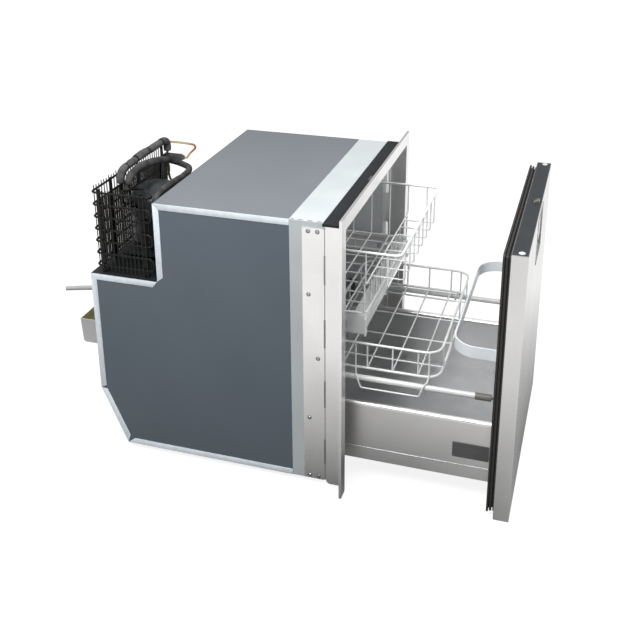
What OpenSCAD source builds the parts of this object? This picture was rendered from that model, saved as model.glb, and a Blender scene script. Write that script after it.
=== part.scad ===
// Undercounter drawer refrigerator, built in, with the drawer pulled out to its stop.
// Lengths are in millimetres. X is the width, +Y goes to the rear, +Z goes up.
// Sizes along Y are counted from the front face of the frame's flange. The model's
// origin is the centre of the cabinet's bottom face.

/* [Cabinet] */
// Width of the cabinet over its side sheets
body_w = 475; // [470:0.5:480]
// Height of the cabinet
body_h = 528; // [526:0.5:532]
// Depth of the cabinet from its front face to the rear wall
body_d = 463; // [461:0.5:473]
// Distance from the flange's front face to the cabinet's front face
body_setback = 42; // [40:0.5:44]
// Depth of the notch for the cooling unit
notch_d = 140; // [134:0.5:141]
// Height of the notch for the cooling unit
notch_h = 158; // [157:0.5:162]
// Depth of the chamfer at the bottom rear
chamfer_d = 51; // [46:0.5:54]
// Height of the chamfer at the bottom rear
chamfer_h = 119; // [113:1:125]
// Thickness of the outer sheet
sheet_t = 1; // [0.8:0.1:1.2]
// Thickness of the foam in the side walls
side_foam_t = 35; // [33:0.5:35.5]
// Depth of the pale collar behind the frame
collar_d = 62; // [58:1:66]
// Width of the trims along the edges of the sides
trim_w = 12; // [9:0.5:14]
// Thickness of the trims along the edges of the sides
trim_t = 0.8; // [0.6:0.1:1]

/* [Cavity] */
// Thickness of the inner liner
liner_t = 2; // [1.5:0.1:2.4]
// Height of the cavity's floor
floor_z = 30; // [27:0.5:30]
// Thickness of the wall over the cavity
top_wall_t = 40; // [36:0.5:42]
// Thickness of the wall between the cavity and the notch's floor
shelf_wall_t = 40; // [39:0.5:43]
// Thickness of the wall behind the upper part of the cavity
step_wall_t = 39; // [36:0.5:39.5]
// Thickness of the wall behind the lower part of the cavity
rear_wall_t = 41; // [38:0.5:41.5]

/* [Frame] */
// Width of the flange
flange_w = 534; // [528:1:540]
// Distance that the flange reaches above the cabinet
flange_rise = 18.5; // [15:0.5:22]
// Distance that the flange's legs reach below the cabinet
foot_drop = 11; // [10:0.5:12]
// Width of the frame's opening
opening_w = 485; // [484.6:0.2:488]
// Distance from the cabinet's top down to the frame's opening
opening_drop = 6; // [5:0.1:6.2]
// Thickness of the stainless sheet
steel_t = 1.5; // [1.2:0.1:1.8]
// Depth of the frame's jamb
jamb_d = 36; // [35:0.5:37]
// Depth of the return lip at the flange's edge
lip_d = 5; // [3:0.5:8]
// Radius of the jamb's lower rear corner
jamb_corner_r = 8; // [4:0.5:12]
// Length of the slots in the frame's sides
slot_l = 58; // [40:1:70]
// Width of the slots in the frame's sides
slot_w = 4; // [3:0.2:4.4]
// Spacing of the slots in the frame's sides
slot_pitch = 125; // [110:1:130]
// Height of the lowest slot's centre
slot_z = 64; // [60:1:70]
// Lower end of the screwed straps
strap_z0 = 3; // [2:0.5:3.4]
// Distance from the cabinet's top down to the straps' upper ends
strap_drop = 12; // [10:0.5:13]
// Depth of the screwed straps
strap_d = 43; // [40:0.5:46]
// Radius of the strap screws' heads
screw_r = 3.2; // [2.5:0.1:3.4]
// Spacing of the screws along the straps
screw_pitch = 127; // [100:1:160]
// Gap between the cover strip and the flange
cover_gap = 2.2; // [2.1:0.1:4]

/* [Door] */
// Width of the door
door_w = 481; // [479:0.2:481]
// Clearance between the door and the frame's top member
door_top_gap = 11; // [11:0.5:16]
// Thickness of the door's panel
door_t = 28; // [27:0.2:28]
// Thickness of the door's stainless skin
skin_t = 1; // [0.8:0.1:1.2]
// Thickness of the plastic caps at the door's ends
cap_t = 4; // [3:0.5:6]
// Width across the outside of the gasket
gasket_w = 470; // [462:1:472]
// Width of the gasket's foot
gasket_foot = 20; // [16:0.5:22]
// Depth of the door's raised inner pan
pan_d = 11; // [9:0.2:11.5]
// Width of the recess for the latch
latch_w = 90; // [80:1:110]
// Height of the recess for the latch
latch_h = 85; // [76:1:90]
// Depth of the recess for the latch
latch_d = 16; // [13:0.5:18]

/* [Drawer] */
// Distance that the drawer is pulled out
travel = 304; // [296:1:304]
// Width over the drawer's sides
drawer_w = 392; // [388:0.5:392]
// Width of the double wall of the drawer's sides
side_wall_w = 13.5; // [13:0.1:13.8]
// Height of the drawer's sides above the crease
side_h = 97; // [85:1:105]
// Height of the crease under the drawer's sides
crease_z = 60; // [59:0.2:61]
// Thickness of the drawer's sheet
drawer_t = 1.2; // [1:0.1:1.3]
// Clearance between the closed drawer and the foot of the rear wall
drawer_rear_gap = 4.5; // [4:0.5:9]
// Height of the drawer floor's upper face
drawer_floor_z = 40; // [39:0.2:42]
// Radius of the gallery rails
rail_r = 5.5; // [4.5:0.1:5.5]
// Height of the gallery rails' centre
rail_z = 206; // [200:1:208]
// Distance of the gallery rails' centre from the middle
rail_x = 188.5; // [188:0.1:188.7]
// Thickness of the bottle retainer
retainer_t = 2.5; // [2:0.1:3]
// Height of the bottle retainer's band
retainer_h = 22; // [18:1:24]
// Radius of the bottle retainer's corners
retainer_r = 45; // [30:1:55]

/* [Runners] */
// Distance of the runners from the middle
runner_x = 189.5; // [189.4:0.1:189.6]
// Outer width of the drawer's runner member
runner_w = 11; // [10.8:0.1:11.1]
// Thickness of the runner members' sheet
runner_t = 1.3; // [1.2:0.1:1.4]
// Side clearance between nested runner members
runner_side_gap = 0.7; // [0.5:0.05:0.8]
// Clearance over nested runner members
runner_top_gap = 0.4; // [0.3:0.05:0.6]

/* [Baskets] */
// Diameter of the baskets' rim wire
rim_d = 5; // [4:0.1:5.4]
// Diameter of the baskets' other wires
wire_d = 3.2; // [2.6:0.1:3.4]
// Distance of the upper basket's rim from the middle
up_half_w = 180; // [174:0.5:180]
// Distance from the cavity's ceiling down to the upper basket's rim
up_rim_gap = 32; // [32:0.5:36]
// Depth of the upper basket's front part
up_front_depth = 64; // [56:1:76]
// Depth of the upper basket
up_depth = 121; // [118:0.5:122]
// Length of the upper basket
up_len = 241; // [235:0.5:244]
// Length of the upper basket's front part
up_front_len = 63; // [58:0.5:68]
// Distance from the closed upper basket to the wall behind it
up_rear_gap = 16; // [15:0.5:22]
// Distance of the middle basket's rim from the middle
mid_half_w = 178; // [172:0.5:178]
// Height of the middle basket's floor over the rails' centre
mid_floor_rise = 16; // [14:0.5:20]
// Depth of the middle basket
mid_depth = 50; // [40:1:54]
// Length of the middle basket
mid_len = 230; // [221:1:232]
// Distance from the middle basket to the drawer's rear end
mid_rear_gap = 46; // [45:1:56]
// Distance that the middle basket slides on its rails
mid_travel = 55; // [40:1:55]

/* [Cooling unit] */
// Radius of the compressor's shell
comp_r = 56; // [50:0.5:56]
// Height of the compressor's shell
comp_h = 131; // [121:1:132]
// Radius of the condenser's tube
tube_r = 2.4; // [2:0.1:2.6]
// Spacing of the condenser's tubes
tube_pitch = 24.5; // [22:0.5:24.5]
// Number of the condenser's tube runs
tube_runs = 7; // [5:1:7]
// Radius of the condenser's wires
fin_r = 0.8; // [0.6:0.05:0.9]
// Spacing of the condenser's wires
fin_pitch = 5.5; // [5:0.5:9]
// Width of the condenser's rear face
cond_w = 323; // [310:1:330]
// Radius of the foam sleeves on the suction pipes
sleeve_r = 9; // [7:0.5:9]
// Radius of the copper pipes
pipe_r = 2.5; // [2:0.1:3]
// Width of the drip tray
tray_w = 300; // [260:5:320]
// Depth of the drip tray
tray_d = 82; // [74:1:90]
// Height of the drip tray
tray_h = 54; // [48:1:60]
// Height of the drip tray's underside
tray_z = 160; // [150:1:170]
// Draft of the drip tray's long walls
tray_draft = 3; // [1:0.5:5]
// Wall of the drip tray
tray_t = 2; // [1.5:0.1:3]
// Radius of the drain spout
spout_r = 4.5; // [4:0.1:5.5]
// Length of the drain spout
spout_l = 89; // [70:1:100]
// Wall of the drain spout
spout_t = 1.4; // [1:0.1:1.8]

/* [Hidden] */
$fn = 48;

half_w = body_w / 2;
shelf_z = body_h - notch_h;
ceiling_z = body_h - top_wall_t;
low_ceiling_z = shelf_z - shelf_wall_t;
front_y = body_setback;
rear_y = body_setback + body_d;
notch_y = rear_y - notch_d;
chamfer_y = rear_y - chamfer_d;
base_mid_y = (front_y + chamfer_y) / 2;
core_half_w = half_w - sheet_t;
cav_half_w = core_half_w - side_foam_t - liner_t;
cav_low_rear_y = rear_y - rear_wall_t;
cav_up_rear_y = notch_y - step_wall_t;
chamfer_angle = atan2(chamfer_h, chamfer_d);
bottom_edge_y = chamfer_y - sheet_t * tan(chamfer_angle / 2);
chamfer_wall = 38;
floor_rear_y = chamfer_y - chamfer_wall / sin(chamfer_angle) + floor_z / tan(chamfer_angle);
seat = 0.3;

jamb_x = opening_w / 2;
strap_x = half_w;
flange_x = flange_w / 2;
flange_top_z = body_h + flange_rise;
opening_top_z = body_h - opening_drop;
strap_z1 = body_h - strap_drop;
door_front_y = -travel;
door_back_y = door_front_y + door_t;
door_z0 = -foot_drop;
door_z1 = opening_top_z - door_top_gap;
door_x = door_w / 2;
gasket_d = front_y - door_t - seat;
gasket_x = gasket_w / 2;
gasket_z0 = -3;
gasket_z1 = door_z1 - 4;
pan_x = gasket_x - gasket_foot - 2.5;
pan_z0 = gasket_z0 + gasket_foot + 2.5;
pan_z1 = gasket_z1 - gasket_foot - 2.5;
pan_y = door_back_y + pan_d;

drawer_rear_y = floor_rear_y - drawer_rear_gap - travel;
side_x = drawer_w / 2;
side_in_x = side_x - side_wall_w;
side_top_z = crease_z + side_h;
runner_z0 = floor_z + 3;
mid_half = runner_w / 2 - runner_t - runner_side_gap;
rail_half = mid_half - runner_t - runner_side_gap;
mid_top_z = crease_z - runner_t - runner_top_gap;
rail_top_z = mid_top_z - runner_t - runner_top_gap;
rail_y0 = front_y + 4;
rail_y1 = drawer_rear_y + travel - 1;
drawer_y0 = pan_y + 1;
tray_y = rear_y + 8;
comp_x = -90;
comp_y = notch_y + comp_r + 9;
plate_t = 3;
foot_t = 8;
comp_z = shelf_z + plate_t + foot_t;
cond_side_x = -(half_w - 9.5);
cond_rear_y = rear_y - 10;
cond_end_x = cond_side_x + cond_w;
cond_z0 = shelf_z + 15;
cond_z1 = cond_z0 + (tube_runs - 1) * tube_pitch;
up_rim_z = ceiling_z - up_rim_gap;
up_step_z = up_rim_z - up_front_depth;
up_floor_z = up_rim_z - up_depth;
up_rear_y = cav_up_rear_y - up_rear_gap - travel / 2;
up_front_y = up_rear_y - up_len;
up_step_y = up_front_y + up_front_len;
mid_floor_z = rail_z + mid_floor_rise;
mid_rim_z = mid_floor_z + mid_depth;
mid_rear_y = drawer_rear_y - mid_rear_gap;
mid_front_y = mid_rear_y - mid_len;
knob_x = 105;
guide_z0 = up_floor_z - 38;
guide_z1 = guide_z0 + 25;
carrier_x = cav_half_w - 17;
carrier_t = 1.5;
carrier_top_z = up_floor_z - rim_d / 2 - seat;
rail_y_front = door_front_y + 78;
rail_y_rear = drawer_rear_y - 11;
latch_z0 = door_z1 - 14 - latch_h;
bolt_x = 4;
bolt_y = door_front_y + 9.5;
bolt_w = 10;
bolt_t = 11;
bolt_gap = 0.3;
bolt_tip_z = opening_top_z - 2.9;
pin_r = 1.6;
pin_gap = 0.05;
paddle_t = 3;
paddle_h = 52;
paddle_pin_z = latch_z0 + latch_h - 7;
paddle_y = door_front_y + 4.2;
fin_off = tube_r + fin_r + 0.05;

// Point beside the compressor's shell, counted from the notch's inner corner
function by_shell(a, z, gap) =
  let (r = comp_r - 2 + gap) [comp_x + r * cos(a), comp_y - notch_y + r * sin(a), z];

// Routes of the suction pipes' foam sleeves, counted from the notch's inner corner
sleeve_a = [[-141, 115, 150], [-141, 115, 160], [-136, 115, 169], [-121, 115, 176], [-91, 115, 179],
  [-57, 115, 180], [-14, 115, 180], [23, 115, 180], [45, 115, 179], [59, 115, 174], [64, 115, 165],
  [64, 115, 151]];
sleeve_b = [[-147, 94, 151], [-147, 94, 159], [-142, 93, 168], [-128, 91, 173], [-106, 91, 175],
  [-79, 91, 172], [-33, 89, 164], [10, 85, 152], [32, 78, 142], [41, 66, 134], [36, 54, 131],
  [16, 46, 130], [-31, 36, 136], [-92, 26, 147], [-142, 21, 153], [-179, 17, 153], [-191, 16, 147],
  [-196, 15, 140], [-197, 15, 135], [-197, 15, 130]];

// Drier from its inlet to its tip
drier_start = [40, 104, 149];
drier_tip = [119, 104, 120];
drier_axis = (drier_tip - drier_start) / norm(drier_tip - drier_start);
drier_r = 7.5;

// Copper pipes: capillary, the two suction pipes at the wall and at the compressor, discharge and liquid pipe
capillary = [[73.4, 115, 169], [126, 115, 151], [187, 115, 128], [200, 115, 121.5], [203.5, 115, 116.5],
  [199, 114.5, 113.5], [181, 113, 113.5], [155, 109, 113.5], [140, 105.5, 113], [131, 104, 115.6],
  drier_tip + seat * drier_axis];
wall_pipe_a = [[64, 115, 150.7], [64, 115, 106], [64, 110, 86], [64, 96, 76], [64, 54, 72],
  [64, seat, 72]];
wall_pipe_b = [[-197, 15, 129.7], [-197, 15, 124], [-197, 13, 118], [-197, 8, 115], [-197, seat, 115]];
shell_pipe_a = [[-141, 115, 149.7], [-141, 115, 117], [-140, 114, 110], [-136.5, 111, 106.5],
  by_shell(135, 106, 6), by_shell(135, 106, seat)];
shell_pipe_b = [[-147, 94, 150.7], [-147, 94, 116], [-146.5, 93.7, 110], [-144.5, 92.7, 106],
  by_shell(153, 105, 2), by_shell(153, 105, seat)];
discharge = [[cond_side_x, 19.7, 162], [cond_side_x, 16.5, 162], [cond_side_x + 1.5, 12.5, 162],
  [cond_side_x + 5, 10, 162], [cond_side_x + 10, 10.5, 162], [-210, 15.5, 161.5], [-190, 33, 158],
  [-172, 48, 154], [-160, 66, 150], [-157, 84, 147], [-163, 97, 145], [-174, 96, 141], [-178, 84, 136],
  [-174, 74, 129], [-168, 70.5, 118], [-162, 70, 109], [-156, 69.9, 104.5], by_shell(175, 104, 5),
  by_shell(175, 104, seat)];
liquid = [drier_start - seat * drier_axis, [30, 104, 152.7], [23, 105, 151], [19, 108, 142],
  [19, 112, 120], [19, 116, 30], [19, 117, 14], [24, 119, 8], [34, 121, 6], [100, 121, 6], [112, 122, 7],
  [117, 125, 10], [115, 129, 14], [108, 130, 15], [cond_end_x + seat, 130, 15]];

// Shifts sizes counted from the flange to the model's own origin
module in_frame() {
  translate([0, -base_mid_y, 0]) children();
}

// Counts places from the notch's inner corner
module in_bay() {
  in_frame() translate([0, notch_y, shelf_z]) children();
}

// Draws children at +x and mirrored at -x
module both_sides() {
  children();
  mirror([1, 0, 0]) children();
}

// Extrudes a profile drawn in Y and Z along X, from x0 to x1
module along_x(x0, x1) {
  translate([x0, 0, 0]) rotate([90, 0, 90]) linear_extrude(x1 - x0) children();
}

// Extrudes a profile drawn in X and Z along Y, from y0 to y1
module along_y(y0, y1) {
  translate([0, y1, 0]) rotate([90, 0, 0]) linear_extrude(y1 - y0) children();
}

// A block from one corner to the opposite one
module block(a, b) {
  translate(a) cube(b - a);
}

// A rectangle from one corner to the opposite one
module area(a, b) {
  translate(a) square(b - a);
}

// A rectangle with round corners, centred across, from one corner to the opposite one
module round_area(a, b, r) {
  difference() {
    area(a, b);
    for (i = [0, 1], j = [0, 1]) {
      corner = [i ? b[0] : a[0], j ? b[1] : a[1]];
      inward = [i ? -r : r, j ? -r : r];
      difference() {
        translate([i ? corner[0] - r : corner[0] - 1, j ? corner[1] - r : corner[1] - 1]) square(r + 1);
        translate(corner + inward) circle(r);
      }
    }
  }
}

// Outline of the cabinet in Y and Z, drawn in by a margin
function cabinet_outline(m) = [
  [front_y, m], [chamfer_y - m * tan(chamfer_angle / 2), m],
  [rear_y - m, chamfer_h + m * tan(45 - chamfer_angle / 2)], [rear_y - m, shelf_z - m],
  [notch_y - m, shelf_z - m], [notch_y - m, body_h - m], [front_y, body_h - m]
];

// Where the inner face of the chamfered wall meets a height
function chamfer_in_y(z) = chamfer_y - chamfer_wall / sin(chamfer_angle) + z / tan(chamfer_angle);
function chamfer_in_z(y) = (y - chamfer_y + chamfer_wall / sin(chamfer_angle)) * tan(chamfer_angle);

// Outline of the cavity in Y and Z, grown by a margin
function cavity_outline(g) = [
  [front_y - 1, floor_z - g], [chamfer_in_y(floor_z) + g * tan(chamfer_angle / 2), floor_z - g],
  [cav_low_rear_y + g, chamfer_in_z(cav_low_rear_y) - g * tan(45 - chamfer_angle / 2)],
  [cav_low_rear_y + g, low_ceiling_z + g], [cav_up_rear_y + g, low_ceiling_z + g],
  [cav_up_rear_y + g, ceiling_z + g], [front_y - 1, ceiling_z + g]
];

// Foam between the sheets and the liner
module foam_core() {
  color("#d9cfae") in_frame() difference() {
    along_x(-core_half_w, core_half_w) polygon(cabinet_outline(sheet_t));
    along_x(-cav_half_w - liner_t, cav_half_w + liner_t) polygon(cavity_outline(liner_t));
    block([-half_w, front_y - 1, 0], [half_w, front_y + sheet_t, body_h]);
  }
}

// Moulded liner of the cavity
module inner_liner() {
  color("#c9cdcf") in_frame() difference() {
    along_x(-cav_half_w - liner_t, cav_half_w + liner_t) polygon(cavity_outline(liner_t));
    along_x(-cav_half_w, cav_half_w) polygon(cavity_outline(0));
    block([-half_w, front_y - 2, 0], [half_w, front_y + sheet_t, body_h]);
  }
}

module bottom_sheet() {
  color("#55595d") in_frame()
    block([-core_half_w, front_y + collar_d, 0], [core_half_w, bottom_edge_y, sheet_t]);
}

// One side sheet, behind the collar
module side_sheet() {
  along_x(core_half_w, half_w) intersection() {
    polygon(cabinet_outline(0));
    area([front_y + collar_d, 0], [rear_y, body_h]);
  }
}

module side_sheet_left() {
  color("#5e6770") in_frame() mirror([1, 0, 0]) side_sheet();
}

module side_sheet_right() {
  color("#5e6770") in_frame() side_sheet();
}

module top_sheet() {
  color("#8e9096") in_frame()
    block([-core_half_w, front_y + collar_d, body_h - sheet_t], [core_half_w, notch_y - sheet_t, body_h]);
}

// Folded sheet of the notch, the rear wall and the chamfer
module rear_sheet() {
  color("#4c5157") in_frame() along_x(-core_half_w, core_half_w) intersection() {
    difference() {
      polygon(cabinet_outline(0));
      polygon(cabinet_outline(sheet_t));
    }
    polygon([[bottom_edge_y, 0], [rear_y, 0], [rear_y, shelf_z + 1], [notch_y, shelf_z + 1],
      [notch_y, body_h], [notch_y - sheet_t, body_h], [notch_y - sheet_t, sheet_t], [bottom_edge_y, sheet_t]]);
  }
}

// Wedge between two folded edges that meet at a corner of the cabinet's outline
module mitre(i, half_angle, side) {
  p = cabinet_outline(0);
  inward = side * (unit(p[i - 1] - p[i]) + unit(p[i + 1] - p[i]));
  middle = atan2(inward[1], inward[0]);
  reach = trim_w * 2.2;
  apex = p[i] - 0.6 * unit(inward);
  polygon([apex, for (a = [-half_angle, half_angle]) apex + reach * [cos(middle + a), sin(middle + a)]]);
}

// Folded edges round one side, open towards the collar, with a mitred gap at each corner
module edge_trim() {
  along_x(half_w, half_w + trim_t) difference() {
    intersection() {
      polygon(cabinet_outline(0));
      area([front_y + collar_d, 0], [rear_y, body_h]);
    }
    polygon(cabinet_outline(trim_w));
    for (i = [1, 2, 3, 5]) mitre(i, 17, 1);
    mitre(4, 84, -1);
  }
}

module edge_trim_left() {
  color("#c3ccd4") in_frame() mirror([1, 0, 0]) edge_trim();
}

module edge_trim_right() {
  color("#c3ccd4") in_frame() edge_trim();
}

// Pale collar round the front end of the cabinet
module collar() {
  color("#c2cacd") in_frame() along_y(front_y, front_y + collar_d) difference() {
    area([-half_w, 0], [half_w, body_h]);
    area([-core_half_w, sheet_t], [core_half_w, body_h - sheet_t]);
  }
}

// Metallic strip round the mouth of the cavity, where the gasket seats
module breaker_strip() {
  color("#a9adb0") in_frame() along_y(front_y, front_y + sheet_t) difference() {
    area([-core_half_w, sheet_t], [core_half_w, body_h - sheet_t]);
    area([-cav_half_w, floor_z], [cav_half_w, ceiling_z]);
  }
}

// Side of the jamb in Y and Z, with its round lower corner
module jamb_side() {
  difference() {
    area([0, -1], [jamb_d, opening_top_z + steel_t]);
    difference() {
      area([jamb_d - jamb_corner_r, -2], [jamb_d + 1, -1 + jamb_corner_r]);
      translate([jamb_d - jamb_corner_r, -1 + jamb_corner_r]) circle(jamb_corner_r);
    }
  }
}

// Strap that is screwed to the cabinet, with the slots in front of the cabinet's face
module strap() {
  difference() {
    area([jamb_d - steel_t, strap_z0], [front_y + strap_d - 5, strap_z1]);
    for (z = [slot_z:slot_pitch:strap_z1 - slot_l / 2 - 5]) {
      y = (jamb_d + front_y) / 2;
      translate([y, z - slot_l / 2 + slot_w / 2]) circle(slot_w / 2);
      translate([y, z + slot_l / 2 - slot_w / 2]) circle(slot_w / 2);
      area([y - slot_w / 2, z - slot_l / 2 + slot_w / 2], [y + slot_w / 2, z + slot_l / 2 - slot_w / 2]);
    }
  }
}

// Three-sided stainless frame: flange, return lip, jamb and straps, in one folded piece
module front_frame() {
  color("#cfcdc9") in_frame() difference() {
    union() {
      along_y(0, steel_t) difference() {
        area([-flange_x, -foot_drop], [flange_x, flange_top_z]);
        area([-jamb_x, -foot_drop - 1], [jamb_x, opening_top_z]);
      }
      along_y(0, lip_d) difference() {
        area([-flange_x, -foot_drop], [flange_x, flange_top_z]);
        area([-flange_x + steel_t, -foot_drop - 1], [flange_x - steel_t, flange_top_z - steel_t]);
      }
      both_sides() {
        along_x(jamb_x, jamb_x + steel_t) jamb_side();
        along_x(strap_x, strap_x + steel_t) strap();
        block([strap_x, jamb_d - steel_t, strap_z0], [jamb_x + 0.5, jamb_d, opening_top_z]);
      }
      block([-jamb_x, 0, opening_top_z], [jamb_x, jamb_d, opening_top_z + steel_t]);
    }
    strike_hole();
  }
}

// Slot that the latch strike passes through
module strike_hole() {
  block([-10, 10, opening_top_z - 1], [6, 18, body_h + 1]);
}

module frame_cover_strip() {
  color("#3a3e40") in_frame() difference() {
    along_x(-jamb_x - steel_t, jamb_x + steel_t)
      area([steel_t + cover_gap, opening_top_z + steel_t], [front_y, body_h]);
    strike_hole();
  }
}

// Heads of the screws that hold one strap: two at each end and a staggered row between them
module strap_screw_row() {
  low = strap_z0 + 5;
  high = strap_z1 - 6;
  near = front_y + 10;
  far = near + 17;
  steps = floor((high - low - 20) / screw_pitch);
  row = [for (i = [1:steps]) [i % 2 == 0 ? near : far, low + i * screw_pitch]];
  screws = concat([[far, high], [near, high], [far, low], [near, low]], row);
  for (s = screws) {
    translate([strap_x + steel_t, s[0], s[1]]) rotate([0, 90, 0]) difference() {
      cylinder(h = 1.2, r1 = screw_r, r2 = screw_r * 0.7);
      for (a = [0, 90]) rotate(a) translate([-screw_r / 2, -0.35, 0.6]) cube([screw_r, 0.7, 1]);
    }
  }
}

module strap_screws() {
  color("#b8b8b6") in_frame() both_sides() strap_screw_row();
}

// Catch that the latch bolt closes behind, with its head above the cover strip
module latch_strike() {
  color("#c9c9c6") in_frame() {
    block([-10, 10, opening_top_z], [6, 18, body_h]);
    block([-14, 7, body_h], [10, 21, body_h + 2.5]);
    block([-20, 4, opening_top_z - 1.8], [15, 24, opening_top_z]);
  }
}

// Runner rails that are fixed to the cavity's floor
module runner_rails() {
  color("#a5a6a4") in_frame() both_sides() along_y(rail_y0, rail_y1) {
    area([runner_x - rail_half, floor_z], [runner_x + rail_half, rail_top_z]);
    area([runner_x - runner_w / 2, floor_z], [runner_x + runner_w / 2, floor_z + 1.5]);
  }
}

// Section of a runner member that hangs over the one below it
module channel(half, top_z, t) {
  difference() {
    area([runner_x - half, runner_z0], [runner_x + half, top_z]);
    area([runner_x - half + t, runner_z0 - 1], [runner_x + half - t, top_z - t]);
  }
}

module middle_runners() {
  color("#b4b5b3") in_frame() both_sides() along_y(rail_y0 - travel / 2, rail_y1 - travel / 2)
    channel(mid_half, mid_top_z, runner_t);
}

module drawer_runners() {
  color("#8d8a84") in_frame() both_sides() along_y(drawer_y0 + 5, rail_y1 - travel)
    channel(runner_w / 2, crease_z, runner_t);
}

// Channels on the cavity's walls that guide the upper basket's carrier
module basket_guides() {
  color("#b9bcbd") in_frame() both_sides() along_y(front_y + 6, cav_up_rear_y - 10) {
    area([cav_half_w - 1.5, guide_z0 - 1.5], [cav_half_w, guide_z1 + 1.5]);
    area([cav_half_w - 11, guide_z0 - 1.5], [cav_half_w - 1, guide_z0]);
    area([cav_half_w - 11, guide_z1], [cav_half_w - 1, guide_z1 + 1.5]);
  }
}

// Evaporator plate with its raised channel
module evaporator() {
  x = cav_half_w - 49.5;
  z0 = low_ceiling_z + 15;
  rim = 10;
  pitch = 22;
  runs = floor((ceiling_z - 8 - z0 - 17) / pitch) + 1;
  color("#c3c7c9") in_frame() {
    block([-x, cav_up_rear_y - 2, z0], [x, cav_up_rear_y, ceiling_z - 8]);
    along_y(cav_up_rear_y - 5, cav_up_rear_y - 1.5) for (i = [0:runs - 1]) {
      z = z0 + 10 + i * pitch;
      turn = i % 2 == 0 ? x - rim - 8 : -x + rim;
      area([-x + rim, z], [x - rim, z + 7]);
      if (i < runs - 1) area([turn, z + 6], [turn + 8, z + pitch + 1]);
    }
  }
}

// Thermostat under the cavity's ceiling
module thermostat_housing() {
  y = front_y + 18;
  color("#e4e5e3") in_frame() along_x(knob_x - 45, knob_x + 45)
    polygon([[y, ceiling_z - 24], [y + 70, ceiling_z - 20], [y + 78, ceiling_z], [y, ceiling_z]]);
}

module thermostat_knob() {
  color("#dddedc") in_frame() translate([knob_x, front_y + 18 - seat, ceiling_z - 12.5]) rotate([90, 0, 0]) {
    cylinder(h = 3, r = 10.5);
    cylinder(h = 9, r = 8.5);
    translate([-1.5, -9.5, 3]) cube([3, 19, 8]);
  }
}

module unit_base_plate() {
  color("#2c3033") in_frame() difference() {
    block([-half_w + 38, notch_y + 6, shelf_z], [half_w - 38, cond_rear_y - 16, shelf_z + plate_t]);
    for (x = [half_w - 117, half_w - 77])
      translate([x, (notch_y + rear_y) / 2, shelf_z - 1]) cylinder(h = plate_t + 2, r = 12);
  }
}

// Places of the compressor's four feet
module at_feet() {
  for (x = [-1, 1], y = [-1, 1]) translate([comp_x + x * 62, comp_y + y * 40, 0]) children();
}

module compressor_grommets() {
  color("#1d1f20") in_frame() at_feet() translate([0, 0, shelf_z + plate_t]) {
    cylinder(h = foot_t, r = 8);
    cylinder(h = foot_t + 4, r = 3.9);
  }
}

// Hermetic compressor: domed shell with a welded seam, and a foot plate
module compressor() {
  dome = comp_r * 0.62;
  side_z = comp_h - 2 - dome;
  seam_z = 76;
  color("#2c3438") in_frame() {
    difference() {
      translate([comp_x - 72, comp_y - 50, comp_z]) cube([144, 100, 3]);
      at_feet() translate([0, 0, comp_z - 1]) cylinder(h = 6, r = 4);
    }
    translate([comp_x, comp_y, comp_z + 2]) rotate_extrude() {
      area([0, 0], [comp_r - 4, seam_z]);
      area([0, seam_z - 7], [comp_r, seam_z]);
      area([0, seam_z - 1], [comp_r - 2, side_z]);
      intersection() {
        area([0, side_z - 1], [comp_r, comp_h]);
        translate([0, side_z]) dome_half(comp_r - 2, dome);
      }
    }
  }
}

// Quarter of an arch, as a smooth curve of straight pieces
module dome_half(w, h) {
  polygon([[0, -2], [w, -2], for (a = [0:7.5:90]) [w * cos(a), h * sin(a)]]);
}

module control_unit() {
  x = comp_x + comp_r + seat;
  color("#34393c") in_frame() {
    block([x, comp_y - 36, comp_z + 18], [x + 38, comp_y + 36, comp_z + 72]);
    for (y = [-32:10:28]) block([x + 37, comp_y + y, comp_z + 22], [x + 42, comp_y + y + 3, comp_z + 68]);
  }
}

// Unit vector from one point to another
function unit(v) = v / norm(v);

// Tangent of a route at one of its points
function tangent(p, i) =
  unit((i < len(p) - 1 ? unit(p[i + 1] - p[i]) : [0, 0, 0]) + (i > 0 ? unit(p[i] - p[i - 1]) : [0, 0, 0]));

// One ring of points square to a route, around a side direction
function ring(p, i, r, n, side) =
  let (t = tangent(p, i), u = unit(side - t * (side * t)), v = cross(t, u))
  [for (k = [0:n - 1]) p[i] + r * (cos((k + 0.5) * 360 / n) * u + sin((k + 0.5) * 360 / n) * v)];

// Solid tube along a route. The side direction must never lie along the route
module tube(p, r, n, side) {
  m = len(p);
  rings = [for (i = [0:m - 1]) ring(p, i, r, n, side)];
  points = [for (q = rings) each q];
  walls = [for (i = [0:m - 2], k = [0:n - 1])
    let (a = i * n + k, b = i * n + (k + 1) % n) each [[a, b, a + n], [b, b + n, a + n]]];
  ends = [[for (k = [n - 1:-1:0]) k], [for (k = [0:n - 1]) (m - 1) * n + k]];
  polyhedron(points, [for (f = concat(walls, ends)) [for (j = [len(f) - 1:-1:0]) f[j]]]);
}

// Route through corner points, with each corner rounded over a length r in n steps
function rounded(p, r, n) = [
  p[0],
  for (i = [1:len(p) - 2]) each
    let (a = p[i] + r * unit(p[i - 1] - p[i]), b = p[i] + r * unit(p[i + 1] - p[i]))
    [for (t = [0:n]) let (s = t / n) (1 - s) * (1 - s) * a + 2 * s * (1 - s) * p[i] + s * s * b],
  p[len(p) - 1]
];

// Corner points of the condenser's tube: runs along the rear and the side, joined by return bends
function condenser_corners() = [
  for (i = [0:tube_runs - 1]) each
    let (z = cond_z0 + i * tube_pitch, rear = [cond_end_x, cond_rear_y, z])
    let (end = i < tube_runs - 1 ? 9 : 20)
    let (corner = [cond_side_x, cond_rear_y, z], side = [cond_side_x, notch_y + end, z])
    i % 2 == 0 ? [rear, corner, side] : [side, corner, rear]
];

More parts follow.
